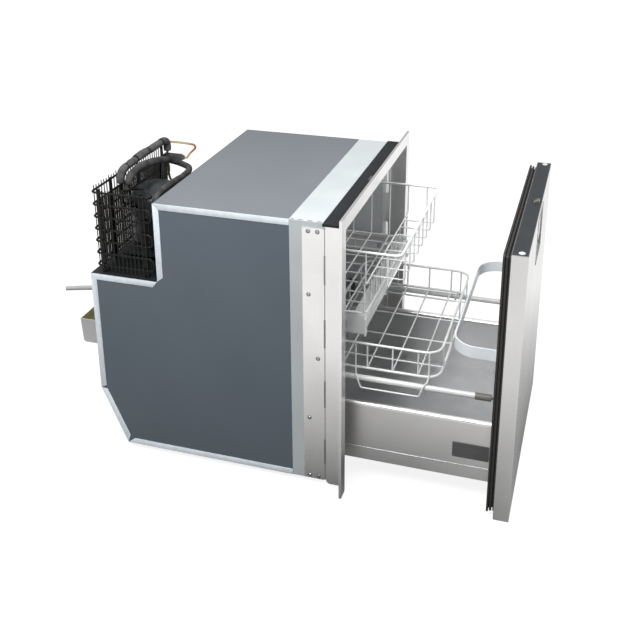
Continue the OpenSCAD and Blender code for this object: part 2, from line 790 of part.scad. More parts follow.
module condenser_tube() {
  route = rounded(condenser_corners(), tube_pitch * 0.4, 3);
  color("#1c1d1d") in_frame() tube(route, tube_r, 8, [0.35, -0.35, 1.8]);
}

// One wire of the condenser, standing from below the lowest tube to above the highest one
module fin() {
  translate([0, 0, cond_z0 - 8]) cylinder(h = cond_z1 - cond_z0 + 15, r = fin_r, $fn = 6);
}

// Wires lie by turns on the outer and on the inner side of the tubes
module condenser_wires_side() {
  color("#1c1d1d") in_frame() for (i = [0:floor((cond_rear_y - notch_y - 29) / fin_pitch)])
    translate([cond_side_x + (i % 2 == 0 ? -fin_off : fin_off), notch_y + 17 + i * fin_pitch, 0]) fin();
}

module condenser_wires_rear() {
  color("#1c1d1d") in_frame() for (i = [0:floor((cond_end_x - cond_side_x - 24) / fin_pitch)])
    translate([cond_side_x + 12 + i * fin_pitch, cond_rear_y + (i % 2 == 0 ? fin_off : -fin_off), 0]) fin();
}

// Flat bars that carry the condenser on the shelf, between the inner wires
module condenser_stays() {
  bar = 2;
  z1 = cond_z1 + 6;
  color("#26282a") in_frame() {
    for (k = [2, 18]) {
      y = notch_y + 17 + k * fin_pitch;
      x = cond_side_x + tube_r + 0.1;
      block([x, y - 4, shelf_z], [x + bar, y + 4, z1]);
      block([x, y - 4, shelf_z], [x + 14, y + 4, shelf_z + bar]);
    }
    for (k = [10:20:50]) {
      x = cond_side_x + 12 + k * fin_pitch;
      y = cond_rear_y - tube_r - 0.1;
      block([x - 4, y - bar, shelf_z], [x + 4, y, z1]);
      block([x - 4, y - 12, shelf_z], [x + 4, y, shelf_z + bar]);
    }
  }
}

module suction_sleeves() {
  color("#55565a") in_bay() {
    tube(sleeve_a, sleeve_r, 12, [0, 1, 0]);
    tube(sleeve_b, sleeve_r, 12, [0.2, 0.3, 3]);
  }
}

module copper_pipes() {
  color("#b8734a") in_bay() {
    tube(capillary, pipe_r, 8, [0, 1, 0.1]);
    tube(wall_pipe_a, pipe_r, 8, [1, 0, 0]);
    tube(wall_pipe_b, pipe_r, 8, [1, 0, 0]);
    tube(shell_pipe_a, pipe_r, 8, [1, 1, 0]);
    tube(shell_pipe_b, pipe_r, 8, [1, 2, 0]);
    tube(discharge, pipe_r, 8, [0.02, 0.05, 1]);
    tube(liquid, pipe_r, 8, [0.05, 1, 0.02]);
  }
}

// Drier in its black sleeve, with a bare tip towards the capillary
module filter_drier() {
  l = norm(drier_tip - drier_start);
  color("#1f2021") in_bay() translate(drier_start) rotate([0, atan2(drier_axis[0], drier_axis[2]), 0]) {
    cylinder(h = l - 7, r = drier_r);
    translate([0, 0, l - 7]) cylinder(h = 7, r = drier_r - 1.5);
  }
}

// Points of an arc about a centre
function arc(c, r, a0, a1, n) = [for (i = [0:n]) let (a = a0 + i * (a1 - a0) / n) c + r * [cos(a), sin(a)]];

// Section of the tray in Y and Z, drawn in by a margin: drafted walls with round lower corners
function tray_section(m, top) =
  let (r = 6, inset = m + tray_draft + r, z = tray_z + m + r)
  concat(
    [[tray_y + m, top], [tray_y + tray_d - m, top]],
    arc([tray_y + tray_d - inset, z], r, 0, -90, 5),
    arc([tray_y + inset, z], r, -90, -180, 5)
  );

// Open tray that hangs behind the rear wall
module drip_tray() {
  color("#b8b6b4") in_frame() difference() {
    along_x(-tray_w / 2, tray_w / 2) polygon(tray_section(0, tray_z + tray_h));
    along_x(-tray_w / 2 + tray_t, tray_w / 2 - tray_t) polygon(tray_section(tray_t, tray_z + tray_h + 1));
  }
}

// Folded strips on the rear wall that hook over the tray's rim
module drip_tray_bracket() {
  strip_t = 2;
  top = tray_z + tray_h;
  low = top - 20;
  color("#9a9c9c") in_frame() for (x = [-tray_w / 2 + 40, tray_w / 2 - 60]) along_x(x, x + 20) polygon([
    [rear_y, low], [tray_y - seat, low], [tray_y - seat, top + seat], [tray_y + tray_t, top + seat],
    [tray_y + tray_t, top + strip_t], [tray_y - strip_t, top + strip_t], [tray_y - strip_t, low + strip_t],
    [rear_y + strip_t, low + strip_t], [rear_y + strip_t, top + 20], [rear_y, top + 20]]);
}

// Rigid spout of the cavity's drain, with its flange on the rear wall
module drain_spout() {
  drop = 9.5;
  color("#e6e8e8") in_frame() translate([-half_w + 47, rear_y, low_ceiling_z - 13]) difference() {
    union() {
      rotate([-90 - drop, 0, 0]) cylinder(h = spout_l, r = spout_r);
      rotate([-90, 0, 0]) cylinder(h = 4, r = spout_r + 5);
    }
    rotate([-90 - drop, 0, 0]) translate([0, 0, 6]) cylinder(h = spout_l, r = spout_r - spout_t);
    block([-30, -10, -30], [30, 0, 30]);
  }
}

// Section of one drawer side in X and Z: a folded double wall with a round top and two inward feet
module side_section() {
  r = side_wall_w / 2;
  top = side_top_z - r;
  difference() {
    union() {
      area([side_in_x, crease_z], [side_x, top]);
      translate([side_in_x + r, top]) circle(r);
      area([side_in_x, drawer_floor_z - 2 - drawer_t], [side_in_x + drawer_t, top]);
    }
    area([side_in_x + drawer_t, crease_z + drawer_t], [side_x - drawer_t, top]);
    translate([side_in_x + r, top]) circle(r - drawer_t);
  }
  area([side_in_x - 12, drawer_floor_z - 2 - drawer_t], [side_in_x + 0.5, drawer_floor_z - 2]);
}

module drawer_side_left() {
  color("#a8a6a0") in_frame() mirror([1, 0, 0]) along_y(drawer_y0, drawer_rear_y) side_section();
}

module drawer_side_right() {
  color("#a8a6a0") in_frame() along_y(drawer_y0, drawer_rear_y) side_section();
}

module drawer_floor() {
  color("#98a0a4") in_frame()
    block([-side_in_x, drawer_y0, drawer_floor_z - 2], [side_in_x, drawer_rear_y, drawer_floor_z]);
}

module drawer_back() {
  color("#a8a6a0") in_frame() {
    block([-side_in_x, drawer_rear_y - 2, drawer_floor_z], [side_in_x, drawer_rear_y, side_top_z - 4]);
    block([-side_in_x, drawer_rear_y - 10, side_top_z - 5.5], [side_in_x, drawer_rear_y, side_top_z - 4]);
  }
}

module side_covers() {
  y0 = drawer_y0 + 6;
  color("#5f5f5f") in_frame() both_sides() along_x(side_x, side_x + 1.4)
    round_area([y0, 77], [y0 + 67, 108], 2);
}

module gallery_rails() {
  color("#dcdddb") in_frame() both_sides() translate([rail_x, rail_y_front, rail_z]) rotate([-90, 0, 0])
    cylinder(h = rail_y_rear - rail_y_front, r = rail_r);
}

// Sockets that hold the rails' front ends on the door's inner pan
module rail_sockets() {
  color("#6e6b66") in_frame() both_sides() translate([rail_x, rail_y_front, rail_z]) rotate([90, 0, 0]) {
    cylinder(h = 29, r = rail_r + 1);
    translate([0, 0, 28]) cylinder(h = rail_y_front - pan_y - 28, r = 2.5);
  }
}

// Posts that carry the rails' rear ends on the drawer's sides
module rail_posts() {
  color("#8f9090") in_frame() both_sides() {
    block([rail_x - 5, rail_y_rear - 8, side_top_z], [rail_x + 5, rail_y_rear, rail_z - 8]);
    difference() {
      along_y(rail_y_rear - 10, rail_y_rear + 4)
        area([rail_x - 6.5, rail_z - 9], [rail_x + 6.5, rail_z + rail_r + 1.5]);
      translate([rail_x, rail_y_rear, rail_z]) rotate([90, 0, 0]) cylinder(h = 12, r = rail_r + 0.05);
    }
  }
}

// Stainless skin: the door's front and its two long edges
module door_skin() {
  color("#c8c5be") in_frame() difference() {
    block([-door_x, door_front_y, door_z0], [door_x, door_back_y, door_z1]);
    along_y(door_front_y + skin_t, door_back_y + 1) door_area(-1);
    along_y(door_front_y - 1, door_front_y + skin_t + 1)
      area([-latch_w / 2, latch_z0], [latch_w / 2, latch_z0 + latch_h]);
  }
}

// Face of the door inside its skin, without the caps at its ends
module door_area(cap) {
  area([-door_x + skin_t, door_z0 + cap], [door_x - skin_t, door_z1 - cap]);
}

module door_core() {
  color("#e3dcc0") in_frame() difference() {
    along_y(door_front_y + skin_t, door_back_y - 2) door_area(cap_t);
    latch_space();
    bolt_space();
  }
}

// Space in the door that the latch housing fills
module latch_space() {
  block([-latch_w / 2, door_front_y, latch_z0], [latch_w / 2, door_front_y + latch_d, latch_z0 + latch_h]);
}

// Way that the latch bolt runs in
module bolt_space() {
  block([bolt_x - bolt_w / 2 - bolt_gap, bolt_y - bolt_t / 2 - bolt_gap, latch_z0 + latch_h - 17],
    [bolt_x + bolt_w / 2 + bolt_gap, bolt_y + bolt_t / 2 + bolt_gap, door_z1 + 1]);
}

// Inner sheet of the door with its raised pan
module door_liner() {
  color("#dfe1e0") in_frame() {
    along_y(door_back_y - 2, door_back_y) door_area(cap_t);
    along_y(door_back_y - 0.5, pan_y) round_area([-pan_x, pan_z0], [pan_x, pan_z1], 14);
  }
}

module door_cap(z) {
  block([-door_x + skin_t, door_front_y + skin_t, z], [door_x - skin_t, door_back_y, z + cap_t]);
}

// Plastic caps that close the door's lower and upper end
module door_caps() {
  color("#4a4d54") in_frame() {
    door_cap(door_z0);
    difference() {
      door_cap(door_z1 - cap_t);
      bolt_space();
      plug_places() translate([0, 0, -2]) cylinder(h = 4, r = 5);
    }
  }
}

// Places of the round plugs in the upper cap
module plug_places() {
  for (x = [-1, 1]) translate([x * (door_x - 10.5), door_front_y + 12, door_z1]) children();
}

module cap_plugs() {
  color("#f0f1f0") in_frame() plug_places() translate([0, 0, -2]) {
    cylinder(h = 2, r = 5);
    translate([0, 0, 2]) cylinder(h = 1, r1 = 5.6, r2 = 4.6);
  }
}

// One layer of the gasket: a rectangular ring, inset from its outer edge
module gasket_layer(y0, y1, inset, w) {
  along_y(door_back_y + y0, door_back_y + y1) difference() {
    round_area([-gasket_x + inset, gasket_z0 + inset], [gasket_x - inset, gasket_z1 - inset], 6);
    area([-gasket_x + inset + w, gasket_z0 + inset + w], [gasket_x - inset - w, gasket_z1 - inset - w]);
  }
}

// Bellows gasket: foot, neck, bellows, neck and lip
module door_gasket() {
  color("#2a2824") in_frame() {
    gasket_layer(0, 2.5, 2, gasket_foot - 4);
    gasket_layer(2.4, 5, 6, gasket_foot - 12);
    gasket_layer(4.9, 8.4, 1.5, gasket_foot - 3);
    gasket_layer(8.3, 10.4, 5, gasket_foot - 10);
    gasket_layer(10.3, gasket_d, 0, gasket_foot);
  }
}

// Round bar on the paddle's axis
module paddle_bar(half, r) {
  translate([-half, paddle_y, paddle_pin_z]) rotate([0, 90, 0]) cylinder(h = 2 * half, r = r);
}

// Moulded cup behind the latch paddle
module latch_housing() {
  wall = 2;
  x = latch_w / 2;
  y0 = door_front_y - 0.8;
  y1 = door_front_y + latch_d;
  z1 = latch_z0 + latch_h;
  color("#3f4347") in_frame() difference() {
    union() {
      block([-x, door_front_y, latch_z0], [x, y1, z1]);
      along_y(y0, door_front_y) round_area([-x - 4, latch_z0 - 4], [x + 4, z1 + 4], 6);
    }
    block([-x + wall, y0 - 1, latch_z0 + wall], [x - wall, y1 - wall, z1 - wall]);
    paddle_bar(x + 1, pin_r + pin_gap);
    bolt_space();
  }
}

// Paddle that hangs on its pin at the top of the cup and is pulled out at its lower edge
module latch_paddle() {
  x = latch_w / 2 - 2 - 0.6;
  color("#6a6f73") in_frame() difference() {
    union() {
      block([-x, paddle_y - 2.4, paddle_pin_z - paddle_h], [x, paddle_y - 2.4 + paddle_t, paddle_pin_z]);
      paddle_bar(x, 2.4);
      paddle_bar(x + 2, pin_r);
    }
    block([bolt_x - bolt_w / 2 - 1.5, paddle_y - 6, paddle_pin_z - 7],
      [bolt_x + bolt_w / 2 + 1.5, paddle_y + 6, paddle_pin_z + 6]);
  }
}

// Spring-loaded bolt with a sloped tip
module latch_bolt() {
  z0 = latch_z0 + latch_h - 9;
  y0 = bolt_y - bolt_t / 2;
  y1 = bolt_y + bolt_t / 2;
  color("#b9bbb9") in_frame() along_x(bolt_x - bolt_w / 2, bolt_x + bolt_w / 2)
    polygon([[y0, z0], [y1, z0], [y1, bolt_tip_z - 5], [y0 + 3, bolt_tip_z], [y0, bolt_tip_z]]);
}

// Band that holds bottles against the door
module bottle_retainer() {
  x = side_x - 10;
  y1 = mid_front_y - 19;
  color("#d0d6dc") in_frame() translate([0, 0, mid_rim_z + 8]) linear_extrude(retainer_h) difference() {
    round_area([-x, pan_y - 80], [x, y1], retainer_r);
    round_area([-x + retainer_t, pan_y - 90], [x - retainer_t, y1 - retainer_t], retainer_r - retainer_t);
    area([-x - 1, pan_y - 100], [x + 1, pan_y]);
  }
}

// One wire of a basket: faceted rods from point to point
module wire(p, d, n) {
  for (i = [0:len(p) - 2]) hull() {
    translate(p[i]) sphere(d = d, $fn = n);
    translate(p[i + 1]) sphere(d = d, $fn = n);
  }
}

// Closed rectangular wire with rounded corners, at one height
module rim(x, y0, y1, z, r, d) {
  corners = [[0, y0, z], [x, y0, z], [x, y1, z], [-x, y1, z], [-x, y0, z], [0, y0, z]];
  wire(rounded(corners, r, 3), d, 6);
}

// Wire that hangs from the rim on one side, crosses a floor and rises on the other side
module cross_wire(x, y, z_rim, z_floor) {
  wire(rounded([[-x, y, z_rim], [-x, y, z_floor], [x, y, z_floor], [x, y, z_rim]], 6, 2), wire_d, 6);
}

// Stepped basket: raised floor in front, deep floor behind
module upper_basket() {
  x = up_half_w;
  bar = 40;
  stepped = [[up_front_y, up_rim_z], [up_front_y, up_step_z], [up_step_y, up_step_z], [up_step_y, up_floor_z],
    [up_rear_y, up_floor_z], [up_rear_y, up_rim_z]];
  color("#f2f3f2") in_frame() {
    rim(x, up_front_y, up_rear_y, up_rim_z, 16, rim_d);
    rim(x, up_step_y, up_rear_y, up_floor_z, 12, rim_d);
    cross_wire(x, up_front_y + 23, up_rim_z, up_step_z);
    cross_wire(x, up_step_y, up_rim_z, up_step_z);
    for (y = [up_step_y + bar:bar:up_rear_y - 8]) cross_wire(x, y, up_rim_z, up_floor_z);
    for (s = [-x, x]) wire([[s, up_step_y + 2, up_step_z], [s, up_step_y + 2, up_floor_z]], wire_d, 6);
    for (i = [-3.5:1:3.5]) wire(rounded([for (p = stepped) [i * bar, p[0], p[1]]], 5, 1), wire_d, 6);
  }
}

// Loop that hangs a basket on one gallery rail: over the rail, down outside it and along below it
module rail_loop() {
  y0 = mid_front_y + 19;
  y1 = mid_rear_y - 73;
  over = rail_z + rail_r + seat + wire_d / 2;
  under = rail_z - rail_r - 11;
  out = rail_x + rail_r + wire_d / 2 + 0.4;
  route = [[mid_half_w, y0, mid_rim_z], [mid_half_w, y0, mid_floor_z], [mid_half_w + 5, y0 + 2, over],
    [out, y0 + 6, over], [out, y0 + 14, under], [out, y1 - 14, under], [out, y1 - 6, over],
    [mid_half_w + 5, y1 - 2, over], [mid_half_w, y1, mid_floor_z], [mid_half_w, y1, mid_rim_z]];
  wire(rounded(route, 3.2, 1), wire_d, 6);
}

// Hook that rests on the rail near the basket's rear
module rail_hook() {
  over = rail_z + rail_r + seat + wire_d / 2;
  out = rail_x + rail_r + wire_d / 2 + 0.4;
  y = rail_y_rear - 19 - mid_travel;
  route = [[mid_half_w, y, mid_floor_z], [mid_half_w + 5, y, over], [out, y, over], [out, y, rail_z - 4]];
  wire(rounded(route, 3.2, 1), wire_d, 6);
}

// Shallow basket that hangs on the gallery rails
module middle_basket() {
  pitch = 47.5;
  tub = [[mid_front_y, mid_rim_z], [mid_front_y, mid_floor_z], [mid_rear_y, mid_floor_z],
    [mid_rear_y, mid_rim_z]];
  color("#f2f3f2") in_frame() {
    rim(mid_half_w, mid_front_y, mid_rear_y, mid_rim_z, 30, rim_d);
    rim(mid_half_w, mid_front_y, mid_rear_y, mid_floor_z, 30, rim_d);
    for (k = [1:4]) cross_wire(mid_half_w, mid_rear_y - k * pitch, mid_rim_z, mid_floor_z);
    for (i = [-1.5:1:1.5]) wire(rounded([for (p = tub) [i * 90, p[0], p[1]]], 5, 1), wire_d, 6);
    both_sides() {
      rail_loop();
      rail_hook();
    }
  }
}

// Sheet carrier under the upper basket, with windows in its sides and sliders at its rear
module basket_carrier() {
  y0 = up_step_y + 0.5;
  y1 = up_rear_y + 4;
  z0 = guide_z0 - 4;
  slider_gap = 0.4;
  front_top = guide_z0 + 23;
  color("#9fa3a6") in_frame() {
    both_sides() {
      difference() {
        block([carrier_x - carrier_t, y0, z0], [carrier_x, y1, carrier_top_z]);
        for (y = [y0 + 34:50:y0 + 134]) block([carrier_x - 3, y, z0 + 8], [carrier_x + 1, y + 32, z0 + 24]);
      }
      block([carrier_x - 6, y0, carrier_top_z - carrier_t], [carrier_x, y1, carrier_top_z]);
      block([carrier_x - 0.1, front_y + 14, guide_z0 + slider_gap],
        [cav_half_w - 1.5 - slider_gap, y1, guide_z1 - slider_gap]);
    }
    difference() {
      block([-carrier_x, y0, front_top - carrier_t], [carrier_x, y0 + 28, front_top]);
      for (x = [-1, 1]) translate([x * 150, y0 + 14, front_top - 10]) cylinder(h = 20, r = 3);
    }
    block([-carrier_x, y0, z0 + 6], [carrier_x, y0 + carrier_t, front_top]);
    block([-carrier_x, y0 + 26.5, z0 + 6], [carrier_x, y0 + 28, front_top]);
  }
}

module carrier_end_blocks() {
  y1 = up_step_y + 0.5;
  color("#eceded") in_frame() both_sides() difference() {
    block([carrier_x - 8, y1 - 3, guide_z0 - 6], [carrier_x + 4, y1, guide_z1 + 4]);
    block([carrier_x - 6, y1 - 4, guide_z0 + 2], [carrier_x - 1, y1 - 1.5, guide_z0 + 12]);
  }
}

foam_core();
inner_liner();
bottom_sheet();
side_sheet_left();
side_sheet_right();
top_sheet();
rear_sheet();
edge_trim_left();
edge_trim_right();
collar();
breaker_strip();
front_frame();
frame_cover_strip();
strap_screws();
latch_strike();
runner_rails();
basket_guides();
evaporator();
thermostat_housing();
thermostat_knob();
unit_base_plate();
compressor();
compressor_grommets();
control_unit();
condenser_tube();
condenser_wires_side();
condenser_wires_rear();
condenser_stays();
suction_sleeves();
copper_pipes();
filter_drier();
drip_tray();
drip_tray_bracket();
drain_spout();
middle_runners();
drawer_runners();
drawer_side_left();
drawer_side_right();
drawer_floor();
drawer_back();
side_covers();
gallery_rails();
rail_sockets();
rail_posts();
door_skin();
door_core();
door_liner();
door_caps();
cap_plugs();
door_gasket();
latch_housing();
latch_paddle();
latch_bolt();
bottle_retainer();
middle_basket();
basket_carrier();
carrier_end_blocks();
upper_basket();
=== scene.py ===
import math

import bmesh
import bpy
from mathutils import Matrix, Vector


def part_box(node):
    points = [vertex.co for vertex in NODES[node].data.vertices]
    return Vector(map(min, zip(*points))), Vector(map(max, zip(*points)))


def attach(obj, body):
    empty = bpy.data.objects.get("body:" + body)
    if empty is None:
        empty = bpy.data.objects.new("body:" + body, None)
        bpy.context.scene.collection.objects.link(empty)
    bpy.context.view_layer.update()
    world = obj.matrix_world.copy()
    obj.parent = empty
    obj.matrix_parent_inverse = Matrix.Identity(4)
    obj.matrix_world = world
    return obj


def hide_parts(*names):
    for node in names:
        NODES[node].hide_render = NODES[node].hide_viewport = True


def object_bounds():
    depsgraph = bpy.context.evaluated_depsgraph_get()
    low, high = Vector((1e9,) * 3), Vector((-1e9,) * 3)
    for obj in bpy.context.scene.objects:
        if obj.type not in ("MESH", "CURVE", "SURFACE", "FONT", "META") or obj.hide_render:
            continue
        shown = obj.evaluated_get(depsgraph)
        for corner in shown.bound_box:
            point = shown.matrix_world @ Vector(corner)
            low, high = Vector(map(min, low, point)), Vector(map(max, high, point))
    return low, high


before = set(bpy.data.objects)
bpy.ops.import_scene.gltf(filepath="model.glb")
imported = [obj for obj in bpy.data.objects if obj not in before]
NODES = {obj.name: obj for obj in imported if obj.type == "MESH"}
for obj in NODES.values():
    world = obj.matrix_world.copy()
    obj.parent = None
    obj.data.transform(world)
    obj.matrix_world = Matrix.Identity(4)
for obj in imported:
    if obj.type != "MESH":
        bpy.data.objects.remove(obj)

bl_info = {
    "name": "Undercounter drawer refrigerator",
    "version": (1, 0, 0),
    "blender": (4, 5, 0),
    "location": "View3D > Sidebar > Refrigerator",
    "description": "Finishes, wire baskets, pipes and trims of a built-in drawer refrigerator",
    "category": "Add Mesh",
}

MM = 0.001
CAD_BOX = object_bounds()
PHOTO_SIDE = 640
SENSOR_W = 36.0
# Colour sockets of a Mix node
MIX_A, MIX_B, MIX_RESULT = 6, 7, 2
# Stretches of a grain along one axis, for brushed, rolled and drawn metal
ALONG_X, ALONG_Y, ALONG_Z, DRAWN_Z = (0.03, 1, 1), (1, 0.03, 1), (1, 1, 0.03), (1, 1, 0.04)

# Inner corner of the notch. The unit's base plate lies on its shelf, 6 mm off its upright wall
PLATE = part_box("unit_base_plate")[0]
CORNER = Vector((0, PLATE.y - 6 * MM, PLATE.z))
# Height of the screw heads on the straps, and the straps' fold line behind the frame's front
HEAD_TALL = 1.2 * MM
FOLD_PLACE = 39 * MM

# Routes of the pipes in millimetres, counted from the inner corner of the notch
SLEEVE_A = [(-141, 115, 150), (-141, 115, 160), (-136, 115, 169), (-121, 115, 176), (-91, 115, 179),
            (-57, 115, 180), (-14, 115, 180), (23, 115, 180), (45, 115, 179), (59, 115, 174),
            (64, 115, 165), (64, 115, 151)]
SLEEVE_B = [(-147, 94, 151), (-147, 94, 159), (-142, 93, 168), (-128, 91, 173), (-106, 91, 175),
            (-79, 91, 172), (-33, 89, 164), (10, 85, 152), (32, 78, 142), (41, 66, 134), (36, 54, 131),
            (16, 46, 130), (-31, 36, 136), (-92, 26, 147), (-142, 21, 153), (-179, 17, 153),
            (-191, 16, 147), (-196, 15, 140), (-197, 15, 135), (-197, 15, 130)]
CAPILLARY = [(73.4, 115, 169), (126, 115, 151), (187, 115, 128), (200, 115, 121.5), (203.5, 115, 116.5),
             (199, 114.5, 113.5), (181, 113, 113.5), (155, 109, 113.5), (140, 105.5, 113),
             (131, 104, 115.6), (119.3, 104, 119.9)]
WALL_PIPE_A = [(64, 115, 150.7), (64, 115, 106), (64, 110, 86), (64, 96, 76), (64, 54, 72), (64, 0.3, 72)]
WALL_PIPE_B = [(-197, 15, 129.7), (-197, 15, 124), (-197, 13, 118), (-197, 8, 115), (-197, 0.3, 115)]
SHELL_PIPE_A = [(-141, 115, 149.7), (-141, 115, 117), (-140, 114, 110), (-136.5, 111, 106.5),
                (-132.4, 107.4, 106), (-128.4, 103.4, 106)]
SHELL_PIPE_B = [(-147, 94, 150.7), (-147, 94, 116), (-146.5, 93.7, 110), (-144.5, 92.7, 106),
                (-139.9, 90.4, 105), (-138.4, 89.7, 105)]
DISCHARGE = [(-228, 19.7, 162), (-228, 16.5, 162), (-226.5, 12.5, 162), (-223, 10, 162),
             (-218, 10.5, 162), (-210, 15.5, 161.5), (-190, 33, 158), (-172, 48, 154), (-160, 66, 150),
             (-157, 84, 147), (-163, 97, 145), (-174, 96, 141), (-178, 84, 136), (-174, 74, 129),
             (-168, 70.5, 118), (-162, 70, 109), (-156, 69.9, 104.5), (-148.8, 70.1, 104),
             (-144.1, 69.7, 104)]
LIQUID = [(39.7, 104, 149.1), (30, 104, 152.7), (23, 105, 151), (19, 108, 142), (19, 112, 120),
          (19, 116, 30), (19, 117, 14), (24, 119, 8), (34, 121, 6), (100, 121, 6), (112, 122, 7),
          (117, 125, 10), (115, 129, 14), (108, 130, 15), (95.3, 130, 15)]
# Shares of each sleeve's route at which its lengths of foam meet, and each length's relative width and its
# lift in millimetres
SLEEVE_A_JOINTS = (0.0, 0.17, 0.34, 0.55, 0.8, 1.0)
SLEEVE_B_JOINTS = (0.0, 0.36, 1.0)
LENGTH_FITS = ((0.96, 0), (0.86, -1.6), (0.97, -0.2), (0.89, -1.2), (0.95, -0.2))
# Distances over which a length of foam rounds off, and half the reach of the painted shade in a gap
FOAM_END, GAP_SHADE_REACH = 3.5 * MM, 3 * MM

# Corners of the cabinet's side in millimetres, and the width of its folded edges. The chamfer goes from FOOT
# on the bottom to KNEE on the rear
EDGE_LOW, EDGE_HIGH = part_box("edge_trim_left")
FRONT, NOTCH, REAR = EDGE_LOW.y / MM, CORNER.y / MM, EDGE_HIGH.y / MM
SHELF, TOP = CORNER.z / MM, EDGE_HIGH.z / MM
FOOT, KNEE = REAR - 51, 119
EDGE = 12
# Runs of the folded edges on one side as corners (y, z), cut as in the picture: open, closed or a thin mitre
FOLDED_EDGES = (
    ((FRONT, 0), (FOOT - 0.3, 0), (FOOT - 14.8, EDGE), (FRONT, EDGE)),
    ((FOOT + 0.1, 0.3), (REAR - 0.1, KNEE - 0.2), (REAR - 13.7, KNEE - 1.5), (FOOT - 5.2, 18.3)),
    ((REAR, KNEE + 0.2), (REAR, SHELF), (NOTCH + 0.8, SHELF), (NOTCH + 10.5, SHELF - EDGE),
     (REAR - EDGE, SHELF - EDGE), (REAR - EDGE, KNEE + 6.7)),
    ((NOTCH, SHELF + 0.8), (NOTCH, TOP - 0.6), (NOTCH - EDGE, TOP - 12.5), (NOTCH - EDGE, SHELF + 10.5)),
    ((NOTCH - 0.7, TOP), (FRONT, TOP), (FRONT, TOP - EDGE), (NOTCH - 12.6, TOP - EDGE)),
)


def linear(hex_colour):
    """An sRGB hex colour as linear RGBA."""
    out = []
    for i in (1, 3, 5):
        c = int(hex_colour[i:i + 2], 16) / 255
        out.append(c / 12.92 if c <= 0.04045 else ((c + 0.055) / 1.055) ** 2.4)
    return (*out, 1.0)


def toned(rgba, tone):
    """A colour made darker or lighter by a factor."""
    return [c * tone for c in rgba[:3]] + [1.0]


def colour_property(name, hex_colour):
    """A setting for a colour."""
    return bpy.props.FloatVectorProperty(
        name=name, description=f"Colour of the {name.lower()}", size=4, subtype="COLOR", min=0, max=1,
        default=linear(hex_colour))


def length_property(name, description, millimetres):
    """A setting for a length, with its default in millimetres."""
    return bpy.props.FloatProperty(
        name=name, description=description, unit="LENGTH", min=0, default=millimetres * MM)


def place_property(name, description, place):
    """A setting for a place, with its default in metres."""
    return bpy.props.FloatVectorProperty(
        name=name, description=description, size=3, subtype="TRANSLATION", unit="LENGTH", default=place)


def angle_property(name, description, degrees):
    """A setting for an angle, with its default in degrees."""
    return bpy.props.FloatProperty(
        name=name, description=description, subtype="ANGLE", default=math.radians(degrees))


def level_property(name, description, level, unit="NONE"):
    """A setting for a brightness, a power or a count of pixels."""
    return bpy.props.FloatProperty(name=name, description=description, unit=unit, min=0, default=level)


def colours():
    """The colours that the panel sets."""
    return bpy.context.scene.fridge_finish


class StageSettings(bpy.types.PropertyGroup):
    """Camera, floor and lights"""
    camera_place: place_property("Camera place", "Where the camera stands", (-1.6572, -0.6403, 1.1453))
    camera_azimuth: angle_property("Azimuth", "Turn of the view about the vertical", -72.152)
    camera_elevation: angle_property("Elevation", "How steeply the camera looks down", 19.971)
    camera_roll: angle_property("Roll", "Tilt of the picture", -0.479)
    focal_px: level_property("Focal length", "Focal length in pixels of a picture 640 wide", 941.84)
    centre_x_px: level_property("Centre across", "Left edge to the camera's axis in pixels", 310)
    centre_y_px: level_property("Centre down", "Top edge to the camera's axis in pixels", 180)
    floor_colour: colour_property("Floor", "#7F7F7E")
    floor_glow: level_property("Floor glow", "How far the floor is overexposed", 0.86)
    sky: level_property("Sky", "Brightness of the room above the object", 0.55)
    ground: level_property("Ground", "Brightness of the room below the object", 0.08)
    card_near: level_property("Near reflection", "Brightness of the floor's reflection close by", 0.1)
    card_far: level_property("Far reflection", "Brightness of the floor's reflection far away", 1.15)
    sun_strength: level_property("Overhead light", "Strength of the soft light from above and behind", 0.6)
    front_power: level_property("Front light", "Power of the light in front of the drawer", 16, "POWER")
    side_power: level_property("Side light", "Power of the light on the left", 31, "POWER")
    sun_place: place_property("Overhead place", "Where the overhead light comes from", (0.5, 0.5, 1.9))
    front_place: place_property("Front place", "Where the front light stands", (-0.25, -1.5, 1.5))
    side_place: place_property("Side place", "Where the side light stands", (-1.05, 0.05, 1.7))
    aim: place_property("Aim", "The point that the lights are turned to", (-0.1, 0, 0.35))


class FinishSettings(bpy.types.PropertyGroup):
    """Colours of the main finishes"""
    side_colour: colour_property("Side sheets", "#5B646C")
    top_colour: colour_property("Top sheet", "#6B6F74")
    trim_colour: colour_property("Folded edges", "#DCE4EA")
    collar_colour: colour_property("Collar", "#B4BABC")
    steel_colour: colour_property("Stainless steel", "#EAE9E8")
    cap_colour: colour_property("Door caps", "#25292C")
    wire_colour: colour_property("Basket wires", "#E6E7E6")
    sleeve_colour: colour_property("Foam sleeves", "#343434")
    copper_colour: colour_property("Copper", "#C4703C")
    enamel_colour: colour_property("Compressor", "#141B1E")


class WireSettings(bpy.types.PropertyGroup):
    """Wires of the two baskets"""
    rim_r: length_property("Rim wire", "Radius of the baskets' rim wires", 2.5)
    wire_r: length_property("Thin wire", "Radius of the baskets' other wires", 1.6)
    rim_corner: length_property("Rim corner", "Length over which the upper rim's corners bend", 13)
    wire_corner: length_property("Wire corner", "Length over which the thin wires bend", 6)
    upper_pitch: length_property("Upper pitch", "Spacing of the upper basket's wires", 40)
    upper_step: length_property("Upper step", "Length of the upper basket's raised front floor", 63)
    upper_shallow: length_property("Front depth", "Depth of the upper basket's front part", 64)
    upper_deep: length_property("Depth", "Depth of the upper basket's rear part", 121)
    middle_pitch: length_property("Middle pitch", "Spacing of the middle basket's cross wires", 47.5)
    middle_long_pitch: length_property("Long pitch", "Spacing of the middle basket's lengthwise wires", 90)
    middle_depth: length_property("Middle depth", "Depth of the middle basket", 50)
    middle_corner: length_property("Middle corner", "Length over which the middle rim's corners bend", 34)


